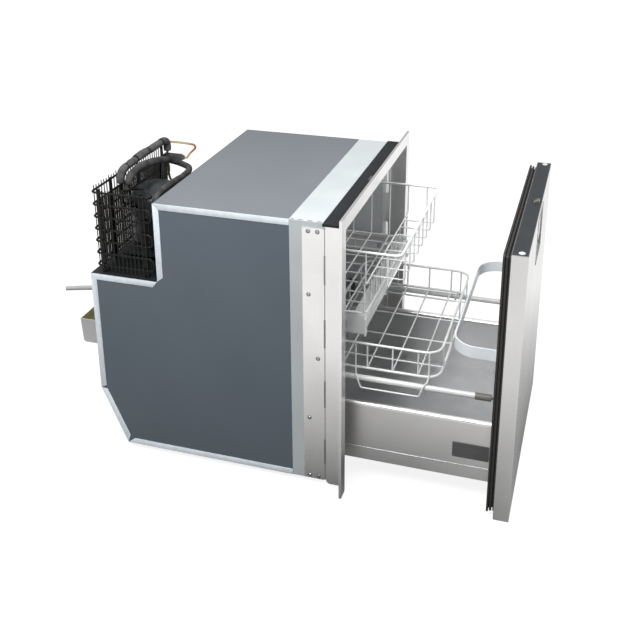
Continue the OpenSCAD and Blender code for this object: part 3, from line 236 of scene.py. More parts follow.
class PipeSettings(bpy.types.PropertyGroup):
    """Pipes, sleeves and condenser"""
    sleeve_r: length_property("Sleeve", "Radius of the foam sleeves", 8.9)
    pipe_r: length_property("Pipe", "Radius of the copper pipes", 2.5)
    tube_r: length_property("Condenser tube", "Radius of the condenser's tube", 2.4)
    fin_r: length_property("Condenser wire", "Radius of the condenser's wires", 0.95)
    sleeve_gap: length_property("Sleeve gap", "Gap between two lengths of a foam sleeve", 1)
    side_pitch: length_property("Side wires", "Spacing of the condenser's side wires on each face", 8.4)
    rear_pitch: length_property("Rear wires", "Spacing of the rear wires on the outer face", 9.6)
    inner_pitch: length_property("Inner wires", "Spacing of the rear wires on the inner face", 4.1)
    tube_pitch: length_property("Condenser pitch", "Spacing of the condenser's tube runs", 24.5)
    tube_runs: bpy.props.IntProperty(
        name="Condenser runs", description="Number of the condenser's tube runs", min=1, default=7)


def add(tree, kind, settings, inputs):
    """Adds a shader node with its properties. An input is a value, or the socket that feeds it."""
    made = tree.nodes.new("ShaderNode" + kind)
    for name, value in settings.items():
        setattr(made, name, value)
    for name, value in inputs.items():
        if isinstance(value, bpy.types.NodeSocket):
            tree.links.new(value, made.inputs[name])
        else:
            made.inputs[name].default_value = value
    return made


def blank_material(name):
    """A new material, its empty node tree and its coordinates on the object in metres."""
    material = bpy.data.materials.new(name)
    material.use_nodes = True
    tree = material.node_tree
    tree.nodes.clear()
    return material, tree, add(tree, "TexCoord", {}, {}).outputs["Object"]


def close_material(tree, colour, roughness, normal, sockets):
    """Ends a node tree with its shader and output."""
    shader = add(tree, "BsdfPrincipled", {},
                 {"Base Color": colour, "Roughness": roughness, "Normal": normal, **sockets})
    add(tree, "OutputMaterial", {}, {"Surface": shader.outputs["BSDF"]})


def finished(name, colour, fleck, patch, grain, relief, roughness, spread=0.06, stretch=(1, 1, 1),
             metallic=0.0, shine=0.5, sockets=None):
    """A surface whose colour drifts to fleck in soft patches and whose grain moves light and gloss.

    patch, grain and relief are real sizes in millimetres, and colours are hex or linear.
    """
    colour, fleck = (linear(c) if isinstance(c, str) else c for c in (colour, fleck))
    material, tree, coords = blank_material(name)
    laid = add(tree, "Mapping", {}, {"Vector": coords, "Scale": stretch}).outputs["Vector"]
    patches = add(tree, "TexNoise", {}, {"Vector": coords, "Scale": 1000 / patch, "Detail": 5.0})
    grains = add(tree, "TexNoise", {}, {"Vector": laid, "Scale": 1000 / grain, "Detail": 3.0})
    share = add(tree, "MapRange", {},
                {"Value": patches.outputs["Fac"], "From Min": 0.35, "From Max": 0.75}).outputs["Result"]
    tone = add(tree, "Mix", {"data_type": "RGBA"}, {0: share, MIX_A: colour, MIX_B: fleck})
    gloss = add(tree, "MapRange", {},
                {"Value": grains.outputs["Fac"], "From Min": 0.3, "From Max": 0.7,
                 "To Min": roughness - spread, "To Max": roughness + spread}).outputs["Result"]
    bump = add(tree, "Bump", {}, {"Height": grains.outputs["Fac"], "Distance": relief * MM,
                                  "Strength": 0.6}).outputs["Normal"]
    close_material(tree, tone.outputs[MIX_RESULT], gloss, bump,
                   {"Metallic": metallic, "Specular IOR Level": shine, **(sockets or {})})
    return material


def coil_coated_side_sheet():
    # Steel sheet with a baked polyester coat: even, half matt, with the fine orange peel of a roller
    return finished("coil_coated_side_sheet", colours().side_colour, "#565F67", 180, 1.6, 0.02, 0.42,
                    shine=0.22)


def coil_coated_top_sheet():
    # The same coat in a lighter grey, a little glossier on the flat top
    return finished("coil_coated_top_sheet", colours().top_colour, "#656A6F", 220, 1.6, 0.02, 0.4,
                    shine=0.3)


def rear_sheet_painted_shade():
    # Painted shade: the rear sheet, seen only through the condenser's wires, is coloured near black for the
    # shade behind them; the same coat, flatter and without shine
    return finished("rear_sheet_painted_shade", "#222427", "#1B1D1F", 120, 1.6, 0.02, 0.55, shine=0.2)


def bare_folded_edge():
    # Folded sheet without its coat: pale metal with a drawn grain and small dents
    return finished("bare_folded_edge", colours().trim_colour, "#CDD5DB", 14, 2.4, 0.06, 0.36)


def pale_coated_collar():
    # Pre-coated sheet in pale grey, half matt
    return finished("pale_coated_collar", colours().collar_colour, "#ABB1B3", 90, 1.8, 0.02, 0.4,
                    shine=0.3)


def brushed_stainless(name, stretch, roughness=0.27, tone=1.0, relief=0.008):
    # Austenitic stainless sheet, belt-brushed in one direction: the lines are drawn coarser than
    # the real 0.1 mm so that they show
    colour, fleck = (toned(rgba, tone) for rgba in (colours().steel_colour, linear("#DEDDDC")))
    return finished(name, colour, fleck, 120, 0.9, relief, roughness, 0.05, stretch, 1.0)


def moulded_plastic(name, colour, fleck, roughness=0.45, shine=0.5):
    # Injection-moulded ABS with a fine spark-eroded grain
    return finished(name, colour, fleck, 30, 0.8, 0.03, roughness, shine=shine)


def painted_recess_shade(name, colour, fleck, roughness=0.6):
    # Painted shade standing for the dark bottom of a narrow slot, groove or well: flat and matt, with
    # lighter flecks
    return finished(name, colour, fleck, 30, 0.8, 0.03, roughness)


def zinc_plated_steel():
    # Cold-rolled steel with bright zinc: cloudy spangle and a soft gloss
    return finished("zinc_plated_steel", "#B4B5B4", "#8E9092", 9, 1.5, 0.015, 0.36, 0.1, metallic=0.9)


def dull_strike_steel():
    # Pressed steel strike, rubbed dull by the bolt: grey smears and a weak gloss
    return finished("dull_strike_steel", "#6E706F", "#58595A", 6, 1.2, 0.03, 0.45, 0.1, metallic=0.8)


def bright_metal_strip(name, roughness):
    # Drawn strip or cut sheet edge, left bright: fine lines along its length
    return finished(name, "#C9CCCF", "#AEB2B5", 60, 0.8, 0.01, roughness, 0.07, DRAWN_Z, 1.0)


def roll_bonded_aluminium():
    # Evaporator plate: rolled aluminium with a frosty, uneven oxide
    return finished("roll_bonded_aluminium", "#C6CACC", "#A4A9AC", 20, 2, 0.05, 0.4, 0.1, metallic=0.85)


def vacuum_formed_liner():
    # High-impact polystyrene sheet drawn over a mould: smooth, slightly wavy and half glossy
    return finished("vacuum_formed_liner", "#CDD0D1", "#C3C6C7", 80, 6, 0.1, 0.3)


def door_pan_plastic():
    # The same sheet on the door's inner side, a shade whiter
    return finished("door_pan_plastic", "#D8DAD9", "#CCCECD", 60, 5, 0.08, 0.3)


def black_enamel():
    # Pressed steel with thick black enamel: deep gloss with dust in patches
    return finished("black_enamel", colours().enamel_colour, "#1B2225", 30, 3, 0.04, 0.36, shine=0.3)


def condenser_lacquer(name, colour, fleck):
    # Dipped black lacquer on steel, with brown dust that sticks to it
    return finished(name, colour, fleck, 16, 1.2, 0.05, 0.55, 0.12, shine=0.28)


def vulcanised_rubber(name, colour, fleck, roughness=0.7):
    # Soft black rubber or PVC: matt with a faint bloom
    return finished(name, colour, fleck, 12, 0.9, 0.05, roughness)


def drier_band():
    # Yellow lacquer over the drier's soldered end, browned by the flame
    return finished("yellow_band", "#B9A94E", "#8C8040", 5, 0.9, 0.05, 0.45)


def powder_coated_white():
    # Steel tube with white powder coat: bright, fine orange peel
    return finished("powder_coated_white", "#DADBD9", "#CCCDCB", 25, 1.4, 0.03, 0.28)


def carrier_sheet():
    # Steel sheet of the carrier with the same coat, a little rougher on its flat sides
    return finished("carrier_sheet", "#E2E4E4", "#D2D4D5", 30, 1.8, 0.03, 0.36, 0.08)


def floor_sheet():
    # Rolled steel floor of the drawer: grey, with a broad dull shine across
    return finished("floor_sheet", "#BEC0C2", "#ACAEB0", 60, 1.2, 0.02, 0.5, 0.1, ALONG_X, 0.7)


def cap_plastic():
    # Moulded end caps of the door in dark grey: half matt with a fine grain
    return finished("cap_plastic", colours().cap_colour, "#2B2F33", 40, 0.9, 0.03, 0.46, shine=0.3)


def vinyl_dipped_wire():
    # Steel wire dipped in white vinyl: soft rounded gloss, thicker at the crossings
    return finished("vinyl_dipped_wire", colours().wire_colour, "#D2D3D3", 18, 2.2, 0.06, 0.3,
                    sockets={"Coat Weight": 0.25, "Coat Roughness": 0.2})


def rigid_foam():
    # Poured polyurethane insulation: pale yellow with closed cells
    return finished("rigid_foam", "#D9CFAE", "#C4B78F", 8, 1.2, 0.3, 0.9)


def frosted_retainer():
    # Injection-moulded clear plastic with a frosted face, which lets a little light through
    return finished("frosted_retainer", "#EEF2F6", "#E2E8EC", 40, 1.5, 0.03, 0.34,
                    sockets={"Transmission Weight": 0.1, "IOR": 1.49})


def nickel_plated_bolt():
    # Sintered steel bolt with nickel plate that has yellowed with grease
    return finished("nickel_plated_bolt", "#A8A493", "#7E7A6B", 4, 0.8, 0.04, 0.34, 0.08, metallic=0.9)


def studio_floor(colour, glow):
    # Pale paper floor, overexposed as in the picture: it glows a little by itself
    return finished("studio_floor", colour, "#7C7C7B", 900, 3, 0.02, 0.6,
                    sockets={"Emission Color": linear("#FFFFFF"), "Emission Strength": glow})


def sponge_sleeve(name, tone):
    # Elastomer foam hose: matt grey skin with open pores, drawn 1 mm wide so that they show
    skin, worn = (toned(rgba, tone) for rgba in (colours().sleeve_colour, linear("#5A5A5B")))
    material, tree, coords = blank_material(name)
    pore, patch = 10 / 9, 200 / 9
    pores = add(tree, "TexVoronoi", {}, {"Vector": coords, "Scale": 1000 / pore}).outputs["Distance"]
    cloud = add(tree, "TexNoise", {},
                {"Vector": coords, "Scale": 1000 / patch, "Detail": 5.0}).outputs["Fac"]
    blotches = add(tree, "MapRange", {},
                   {"Value": cloud, "From Min": 0.3, "From Max": 0.7}).outputs["Result"]
    colour = add(tree, "Mix", {"data_type": "RGBA"}, {0: blotches, MIX_A: skin, MIX_B: worn})
    rough = add(tree, "MapRange", {}, {"Value": cloud, "To Min": 0.72, "To Max": 0.98}).outputs["Result"]
    dents = add(tree, "Bump", {}, {"Height": cloud, "Distance": 4 * MM, "Strength": 0.8}).outputs["Normal"]
    bump = add(tree, "Bump", {"invert": True},
               {"Height": pores, "Distance": 0.3 * MM, "Strength": 0.5, "Normal": dents}).outputs["Normal"]
    close_material(tree, colour.outputs[MIX_RESULT], rough, bump, {"Specular IOR Level": 0.2})
    return material


def drawn_copper():
    # Soft-drawn copper tube: brassy flux and heat stain near the sleeve, clean orange at the bend
    material, tree, coords = blank_material("drawn_copper")
    stain_left, bend_right, patch = 50 * MM, 210 * MM, 50 / 7
    across = add(tree, "SeparateXYZ", {}, {"Vector": coords}).outputs["X"]
    share = add(tree, "MapRange", {},
                {"Value": across, "From Min": stain_left, "From Max": bend_right}).outputs["Result"]
    ramp = add(tree, "ValToRGB", {}, {"Fac": share})
    stops = ramp.color_ramp.elements
    stops[0].position, stops[0].color = 0.03, linear("#1B1815")
    stops[1].position, stops[1].color = 0.16, linear("#C9BE8C")
    for place, colour in ((0.66, linear("#CDBB86")), (0.8, colours().copper_colour)):
        stops.new(place).color = colour
    cloud = add(tree, "TexNoise", {},
                {"Vector": coords, "Scale": 1000 / patch, "Detail": 4.0}).outputs["Fac"]
    stain = add(tree, "MapRange", {},
                {"Value": cloud, "From Min": 0.45, "From Max": 0.8, "To Max": 0.55}).outputs["Result"]
    stain = add(tree, "Math", {"operation": "MULTIPLY"}, {0: stain, 1: share}).outputs[0]
    tone = add(tree, "Mix", {"data_type": "RGBA"},
               {0: stain, MIX_A: ramp.outputs["Color"], MIX_B: linear("#5E3B26")})
    rough = add(tree, "MapRange", {}, {"Value": cloud, "To Min": 0.2, "To Max": 0.5}).outputs["Result"]
    bump = add(tree, "Bump", {}, {"Height": cloud, "Distance": 0.1 * MM, "Strength": 0.4}).outputs["Normal"]
    close_material(tree, tone.outputs[MIX_RESULT], rough, bump, {"Metallic": 0.85})
    return material


def stained_tray():
    # Off-white polypropylene, with an olive film inside where drain water has dried
    material, tree, coords = blank_material("stained_tray")
    lo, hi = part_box("drip_tray")
    wall, draft, patch = 1 * MM, 3 * MM, 100 / 3
    axes = add(tree, "SeparateXYZ", {}, {"Vector": coords})
    lean = add(tree, "MapRange", {}, {"Value": axes.outputs["Z"], "From Min": lo.z, "From Max": hi.z,
                                      "To Min": draft, "To Max": 0.0}).outputs["Result"]
    front = add(tree, "Math", {"operation": "SUBTRACT"}, {0: axes.outputs["Y"], 1: lean}).outputs[0]
    rear = add(tree, "Math", {"operation": "ADD"}, {0: axes.outputs["Y"], 1: lean}).outputs[0]
    inside = None
    for value, edge, rule in ((axes.outputs["X"], lo.x + wall, "GREATER_THAN"),
                              (axes.outputs["X"], hi.x - wall, "LESS_THAN"),
                              (front, lo.y + wall, "GREATER_THAN"), (rear, hi.y - wall, "LESS_THAN"),
                              (axes.outputs["Z"], lo.z + wall, "GREATER_THAN")):
        test = add(tree, "Math", {"operation": rule}, {0: value, 1: edge}).outputs[0]
        inside = test if inside is None else add(
            tree, "Math", {"operation": "MULTIPLY"}, {0: inside, 1: test}).outputs[0]
    cloud = add(tree, "TexNoise", {},
                {"Vector": coords, "Scale": 1000 / patch, "Detail": 6.0}).outputs["Fac"]
    film = add(tree, "Mix", {"data_type": "RGBA"},
               {0: cloud, MIX_A: linear("#8A8B58"), MIX_B: linear("#B4B289")}).outputs[MIX_RESULT]
    shell = add(tree, "Mix", {"data_type": "RGBA"},
                {0: cloud, MIX_A: linear("#C0BFBF"), MIX_B: linear("#B0AFAF")}).outputs[MIX_RESULT]
    tone = add(tree, "Mix", {"data_type": "RGBA"}, {0: inside, MIX_A: shell, MIX_B: film})
    rough = add(tree, "MapRange", {}, {"Value": cloud, "To Min": 0.35, "To Max": 0.6}).outputs["Result"]
    bump = add(tree, "Bump", {}, {"Height": cloud, "Distance": 0.2 * MM, "Strength": 0.3}).outputs["Normal"]
    close_material(tree, tone.outputs[MIX_RESULT], rough, bump, {})
    return material


def dress(material, *names):
    """Gives CAD nodes a material."""
    for name in names:
        for place in NODES[name].material_slots:
            place.material = material


def ease_edges(width, *names):
    """Rounds the sharp edges of CAD nodes by a width in millimetres, as folded or moulded edges are."""
    for name in names:
        node = NODES[name]
        weld = node.modifiers.new("join_corners", "WELD")
        weld.merge_threshold = 0.01 * MM
        bevel = node.modifiers.new("round_edges", "BEVEL")
        bevel.width = width * MM
        bevel.segments = 2
        bevel.limit_method = "ANGLE"
        bevel.angle_limit = math.radians(40)
        bevel.use_clamp_overlap = True


def middle(low, high):
    """The point half way between two corners."""
    return (low + high) / 2


def in_notch(points):
    """Places counted in millimetres from the notch's inner corner, in metres."""
    return [CORNER + Vector(q) * MM for q in points]


def rounded(points, bend, closed=False, steps=5):
    """Points of a route with each corner bent over a length."""
    route = [Vector(p) for p in points]
    last = len(route) - 1
    out = []
    for i, p in enumerate(route):
        if not closed and i in (0, last):
            out.append(p)
            continue
        before, after = route[i - 1] - p, route[(i + 1) % len(route)] - p
        reach = min(bend, before.length * 0.49, after.length * 0.49)
        a, b = p + before.normalized() * reach, p + after.normalized() * reach
        for k in range(steps + 1):
            t = k / steps
            out.append((1 - t) ** 2 * a + 2 * t * (1 - t) * p + t * t * b)
    return out


def smooth_route(points, steps=5):
    """A curve that passes through every point, as a finer row of points."""
    p = [Vector(q) for q in points]
    p = [2 * p[0] - p[1], *p, 2 * p[-1] - p[-2]]
    out = []
    for a, b, c, d in zip(p, p[1:], p[2:], p[3:]):
        for k in range(steps):
            t = k / steps
            out.append(0.5 * (2 * b + (c - a) * t + (2 * a - 5 * b + 4 * c - d) * t * t
                              + (3 * b - a - 3 * c + d) * t ** 3))
    return [*out, p[-2]]


def in_scene(name, data):
    """A new object in the scene."""
    made = bpy.data.objects.new(name, data)
    bpy.context.scene.collection.objects.link(made)
    return made


def as_mesh(name, bm):
    """Ends a bmesh as a mesh."""
    mesh = bpy.data.meshes.new(name)
    bm.to_mesh(mesh)
    bm.free()
    return mesh


def rod_mesh(name, routes, radius, closed=False, sides=3, thickness=None):
    """Round rods along routes, as one mesh. thickness gives a factor for each point of the first route."""
    curve = bpy.data.curves.new(name, "CURVE")
    curve.dimensions = "3D"
    curve.bevel_depth = radius
    curve.bevel_resolution = sides
    curve.use_fill_caps = True
    for route in routes:
        spline = curve.splines.new("POLY")
        spline.points.add(len(route) - 1)
        spline.use_cyclic_u = closed
        for i, place in enumerate(route):
            spline.points[i].co = (*place, 1)
            spline.points[i].radius = thickness[i] if thickness else 1
    bent = in_scene(name, curve)
    bpy.context.view_layer.update()
    mesh = bpy.data.meshes.new_from_object(bent.evaluated_get(bpy.context.evaluated_depsgraph_get()))
    bpy.data.objects.remove(bent)
    return mesh


def turned_mesh(name, profile, place, axis=(0, 0, 1), steps=32):
    """A profile of (radius, height) points in millimetres, turned about an axis through a place."""
    bm = bmesh.new()
    verts = [bm.verts.new((r * MM, 0, z * MM)) for r, z in profile]
    edges = [bm.edges.new(pair) for pair in zip(verts, verts[1:])]
    bmesh.ops.spin(bm, geom=verts + edges, cent=(0, 0, 0), axis=(0, 0, 1), angle=2 * math.pi, steps=steps,
                   use_merge=True)
    turn = Vector((0, 0, 1)).rotation_difference(Vector(axis)).to_matrix().to_4x4()
    bmesh.ops.transform(bm, matrix=Matrix.Translation(place) @ turn, verts=bm.verts)
    return as_mesh(name, bm)


def ease_all(bm, ease):
    """Bevels every edge of a bmesh by a length."""
    bmesh.ops.bevel(bm, geom=bm.edges, offset=ease, segments=2, profile=0.5, affect="EDGES", material=-1)


def plate_mesh(name, outline, near, far):
    """A plate with an outline of (y, z) points, from near to far across the object."""
    bm = bmesh.new()
    face = bm.faces.new([bm.verts.new((near, y, z)) for y, z in outline])
    raised = bmesh.ops.extrude_face_region(bm, geom=[face])["geom"]
    bmesh.ops.translate(bm, vec=(far - near, 0, 0),
                        verts=[v for v in raised if isinstance(v, bmesh.types.BMVert)])
    bmesh.ops.recalc_face_normals(bm, faces=bm.faces)
    ease_all(bm, 0.2 * MM)
    return as_mesh(name, bm)


def slab_mesh(name, low, high, ease):
    """A block between two opposite corners, with its edges eased by a length."""
    low, high = (Vector([pick(pair) for pair in zip(low, high)]) for pick in (min, max))
    bm = bmesh.new()
    bmesh.ops.create_cube(bm, size=1)
    bmesh.ops.scale(bm, vec=high - low, verts=bm.verts)
    bmesh.ops.translate(bm, vec=middle(low, high), verts=bm.verts)
    ease_all(bm, ease)
    return as_mesh(name, bm)


def piece(name, meshes, material, body, replaced=()):
    """Joins meshes to one closed piece that rides on a body and stands for the CAD nodes it replaces."""
    bm = bmesh.new()
    for mesh in meshes:
        bm.from_mesh(mesh)
        bpy.data.meshes.remove(mesh)
    bmesh.ops.remove_doubles(bm, verts=bm.verts, dist=0.002 * MM)
    bmesh.ops.recalc_face_normals(bm, faces=bm.faces)
    joined = as_mesh(name, bm)
    joined.polygons.foreach_set("use_smooth", [True] * len(joined.polygons))
    joined.set_sharp_from_angle(angle=math.radians(38))
    joined.materials.append(material)
    made = in_scene(name, joined)
    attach(made, body)
    if replaced:
        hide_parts(*replaced)
    return made


def studio_sheet(name, below, material):
    """A wide level sheet under the object, for the stage."""
    bm = bmesh.new()
    bmesh.ops.create_grid(bm, x_segments=2, y_segments=2, size=25)
    bmesh.ops.translate(bm, vec=(0, 0, CAD_BOX[0][2] - below), verts=bm.verts)
    mesh = as_mesh(name, bm)
    mesh.materials.append(material)
    sheet = in_scene(name, mesh)
    return sheet


class FRIDGE_OT_stage(bpy.types.Operator):
    """Camera, pale floor and soft studio lights"""
    bl_idname = "fridge.stage"
    bl_label = "Stage"

    def execute(self, context):
        stage = context.scene.fridge_stage
        self.camera(context.scene, stage)
        floor = studio_sheet("floor", 0.5 * MM, studio_floor(stage.floor_colour, stage.floor_glow))
        floor.visible_diffuse = False
        floor.visible_glossy = False
        card = studio_sheet("reflection_card", 1 * MM, self.graded_card(stage))
        for ray in ("visible_camera", "visible_diffuse", "visible_transmission", "visible_shadow"):
            setattr(card, ray, False)
        self.room(context.scene, stage)
        self.lamps(stage)
        return {"FINISHED"}

    def camera(self, scene, stage):
        """The photograph's camera: its place, turn, focal length and off-centre axis."""
        camera = bpy.data.cameras.new("photo_camera")
        camera.sensor_width = SENSOR_W
        camera.lens = stage.focal_px / PHOTO_SIDE * SENSOR_W
        camera.shift_x = (PHOTO_SIDE / 2 - stage.centre_x_px) / PHOTO_SIDE
        camera.shift_y = -(PHOTO_SIDE / 2 - stage.centre_y_px) / PHOTO_SIDE
        camera.clip_end = 100
        a, e, r = stage.camera_azimuth, stage.camera_elevation, stage.camera_roll
        back = Vector((math.sin(a) * math.cos(e), -math.cos(a) * math.cos(e), math.sin(e)))
        right = Vector((math.cos(a), math.sin(a), 0))
        up = back.cross(right)
        right, up = right * math.cos(r) + up * math.sin(r), up * math.cos(r) - right * math.sin(r)
        seat = in_scene("photo_camera", camera)
        turn = Matrix((right, up, back)).transposed()
        seat.matrix_world = Matrix.Translation(stage.camera_place) @ turn.to_4x4()
        scene.camera = seat
        scene.view_settings.view_transform = "Standard"

    def graded_card(self, stage):
        """What metal reflects from below: a floor that is dim round the object and pale further out."""
        material, tree, coords = blank_material("graded_card")
        under_door, dim, pale = 250 * MM, 200 * MM, 850 * MM
        centred = add(tree, "Mapping", {},
                      {"Vector": coords, "Location": (0, under_door, 0)}).outputs["Vector"]
        reach = add(tree, "VectorMath", {"operation": "LENGTH"}, {0: centred}).outputs["Value"]
        strength = add(tree, "MapRange", {},
                       {"Value": reach, "From Min": dim, "From Max": pale, "To Min": stage.card_near,
                        "To Max": stage.card_far}).outputs["Result"]
        glow = add(tree, "Emission", {}, {"Strength": strength})
        add(tree, "OutputMaterial", {}, {"Surface": glow.outputs["Emission"]})
        return material

    def room(self, scene, stage):
        """A room that lights from above, is dim below and looks white to the camera."""
        world = bpy.data.worlds.new("studio")
        scene.world = world
        world.use_nodes = True
        tree = world.node_tree
        way = add(tree, "TexCoord", {}, {}).outputs["Generated"]
        height = add(tree, "SeparateXYZ", {}, {"Vector": way}).outputs["Z"]
        strength = add(tree, "MapRange", {"interpolation_type": "SMOOTHSTEP"},
                       {"Value": height, "From Min": -0.35, "From Max": 0.45, "To Min": stage.ground,
                        "To Max": stage.sky})
        seen = add(tree, "LightPath", {}, {}).outputs["Is Camera Ray"]
        level = add(tree, "Mix", {}, {0: seen, 2: strength.outputs["Result"], 3: 1.0}).outputs[0]
        tree.links.new(level, tree.nodes["Background"].inputs["Strength"])
        tree.nodes["Background"].inputs["Color"].default_value = linear("#FFFFFF")

    def lamps(self, stage):
        """A broad soft sun from behind, a near light on the left and one that reaches into the drawer."""
        for name, kind, power, spread, width, place in (
                ("overhead_light", "SUN", stage.sun_strength, "angle", math.radians(45), stage.sun_place),
                ("side_light", "AREA", stage.side_power, "size", 0.8, stage.side_place),
                ("front_light", "AREA", stage.front_power, "size", 0.9, stage.front_place)):
            lamp = bpy.data.lights.new(name, kind)
            lamp.energy = power
            setattr(lamp, spread, width)
            turn = (Vector(stage.aim) - Vector(place)).to_track_quat("-Z", "Y").to_matrix().to_4x4()
            in_scene(name, lamp).matrix_world = Matrix.Translation(place) @ turn


class FRIDGE_OT_cabinet(bpy.types.Operator):
    """Sheets, folded edges and pale collar of the cabinet"""
    bl_idname = "fridge.cabinet"
    bl_label = "Cabinet"

    def execute(self, context):
        dress(coil_coated_side_sheet(), "side_sheet_left", "side_sheet_right")
        # Painted shade: the rear sheet is near black for the shade behind the condenser
        dress(rear_sheet_painted_shade(), "rear_sheet")
        dress(coil_coated_top_sheet(), "top_sheet", "bottom_sheet")
        dress(pale_coated_collar(), "collar")
        dress(rigid_foam(), "foam_core")
        ease_edges(0.5, "collar", "top_sheet", "rear_sheet")
        self.folded_edges()
        self.collar_slots()
        return {"FINISHED"}

    def folded_edges(self):
        """Folded edges round both sides."""
        metal = bare_folded_edge()
        for name in ("edge_trim_left", "edge_trim_right"):
            lo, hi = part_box(name)
            runs = [plate_mesh("run", [(y * MM, lo.z + z * MM) for y, z in run], lo.x, hi.x)
                    for run in FOLDED_EDGES]
            piece(name.replace("edge_trim", "folded_edges"), runs, metal, "cabinet", (name,))

    def collar_slots(self):
        """Painted shade for the narrow slots on the collar's top, along its left end: thin dark slabs set
        into the sheet.
        """
        lo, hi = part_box("collar")
        near, far, sink, proud = 1.2 * MM, 3.2 * MM, 0.3 * MM, 0.15 * MM
        slots = [slab_mesh("slot", (lo.x + near, lo.y + y * MM, hi.z - sink),
                           (lo.x + far, lo.y + (y + length) * MM, hi.z + proud), 0.05 * MM)
                 for y, length in ((4, 7), (20, 9), (37, 9), (53, 6))]
        piece("collar_slots", slots, painted_recess_shade("slot_shadow", "#2C3032", "#3A3E40", 0.8), "cabinet")


class FRIDGE_OT_frame(bpy.types.Operator):
    """Stainless front frame with its cover strip, strap screws and latch strike"""
    bl_idname = "fridge.frame"
    bl_label = "Front frame"

    def execute(self, context):
        dress(brushed_stainless("brushed_frame", ALONG_Z, 0.32, relief=0.004), "front_frame")
        dress(moulded_plastic("cover_strip_plastic", "#1A1D1F", "#222527", 0.6, 0.2), "frame_cover_strip")
        dress(zinc_plated_steel(), "strap_screws")
        dress(dull_strike_steel(), "latch_strike")
        dress(bright_metal_strip("breaker_strip_metal", 0.36), "breaker_strip")
        ease_edges(0.6, "frame_cover_strip", "latch_strike")
        lo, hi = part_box("strap_screws")
        straps = ((lo.x + HEAD_TALL, -1), (hi.x - HEAD_TALL, 1))
        self.wells(lo, straps)
        self.strap_fold_shade(straps)
        return {"FINISHED"}

    def wells(self, lo, straps):
        """Painted shade round the screw heads, where they sink into the straps: dark rims, found from the
        heads' own corners.
        """
        tops, head_w = lo.x + 1 * MM, 12 * MM
        heads = []
        for v in NODES["strap_screws"].data.vertices:
            if v.co.x > tops:
                continue
            near = [head for head in heads if (head[0] - v.co).length < head_w]
            if near:
                near[0].append(v.co.copy())
            else:
                heads.append([v.co.copy()])
        rim = [(0, 0), (4.1, 0), (4.1, 0.12), (3.5, 0.16), (0, 0.16)]
        rings = []
        for head in heads:
            y, z = ((min(c[k] for c in head) + max(c[k] for c in head)) / 2 for k in (1, 2))
            rings += [turned_mesh("well", rim, (x, y, z), (side, 0, 0), 20) for x, side in straps]
        piece("screw_well_shade", rings, painted_recess_shade("screw_well_shadow", "#4A4B4B", "#5A5B5A"), "cabinet")

    def strap_fold_shade(self, straps):
        """Painted shade along the step where the straps are folded out of the jambs: thin dark strips on the
        line of the slots.
        """
        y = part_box("front_frame")[0].y + FOLD_PLACE
        low, high, half, proud = 3 * MM, 515 * MM, 0.8 * MM, 0.12 * MM
        fold_shade_strips = [slab_mesh("groove", (x, y - half, low), (x + side * proud, y + half, high), 0.04 * MM)
                   for x, side in straps]
        piece("strap_fold_shade", fold_shade_strips, painted_recess_shade("seam_shadow", "#717273", "#868788"), "cabinet")


class FRIDGE_OT_cavity(bpy.types.Operator):
    """Liner, evaporator, thermostat and rails inside the cabinet"""
    bl_idname = "fridge.cavity"
    bl_label = "Cavity"

    def execute(self, context):
        dress(vacuum_formed_liner(), "inner_liner")
        dress(roll_bonded_aluminium(), "evaporator")
        dress(moulded_plastic("white_moulding", "#DCDDDB", "#D0D1CF", 0.35), "thermostat_housing",
              "thermostat_knob")
        dress(zinc_plated_steel(), "runner_rails", "basket_guides", "middle_runners")
        ease_edges(1.0, "thermostat_housing")
        ease_edges(0.3, "evaporator", "basket_guides", "runner_rails")
        return {"FINISHED"}


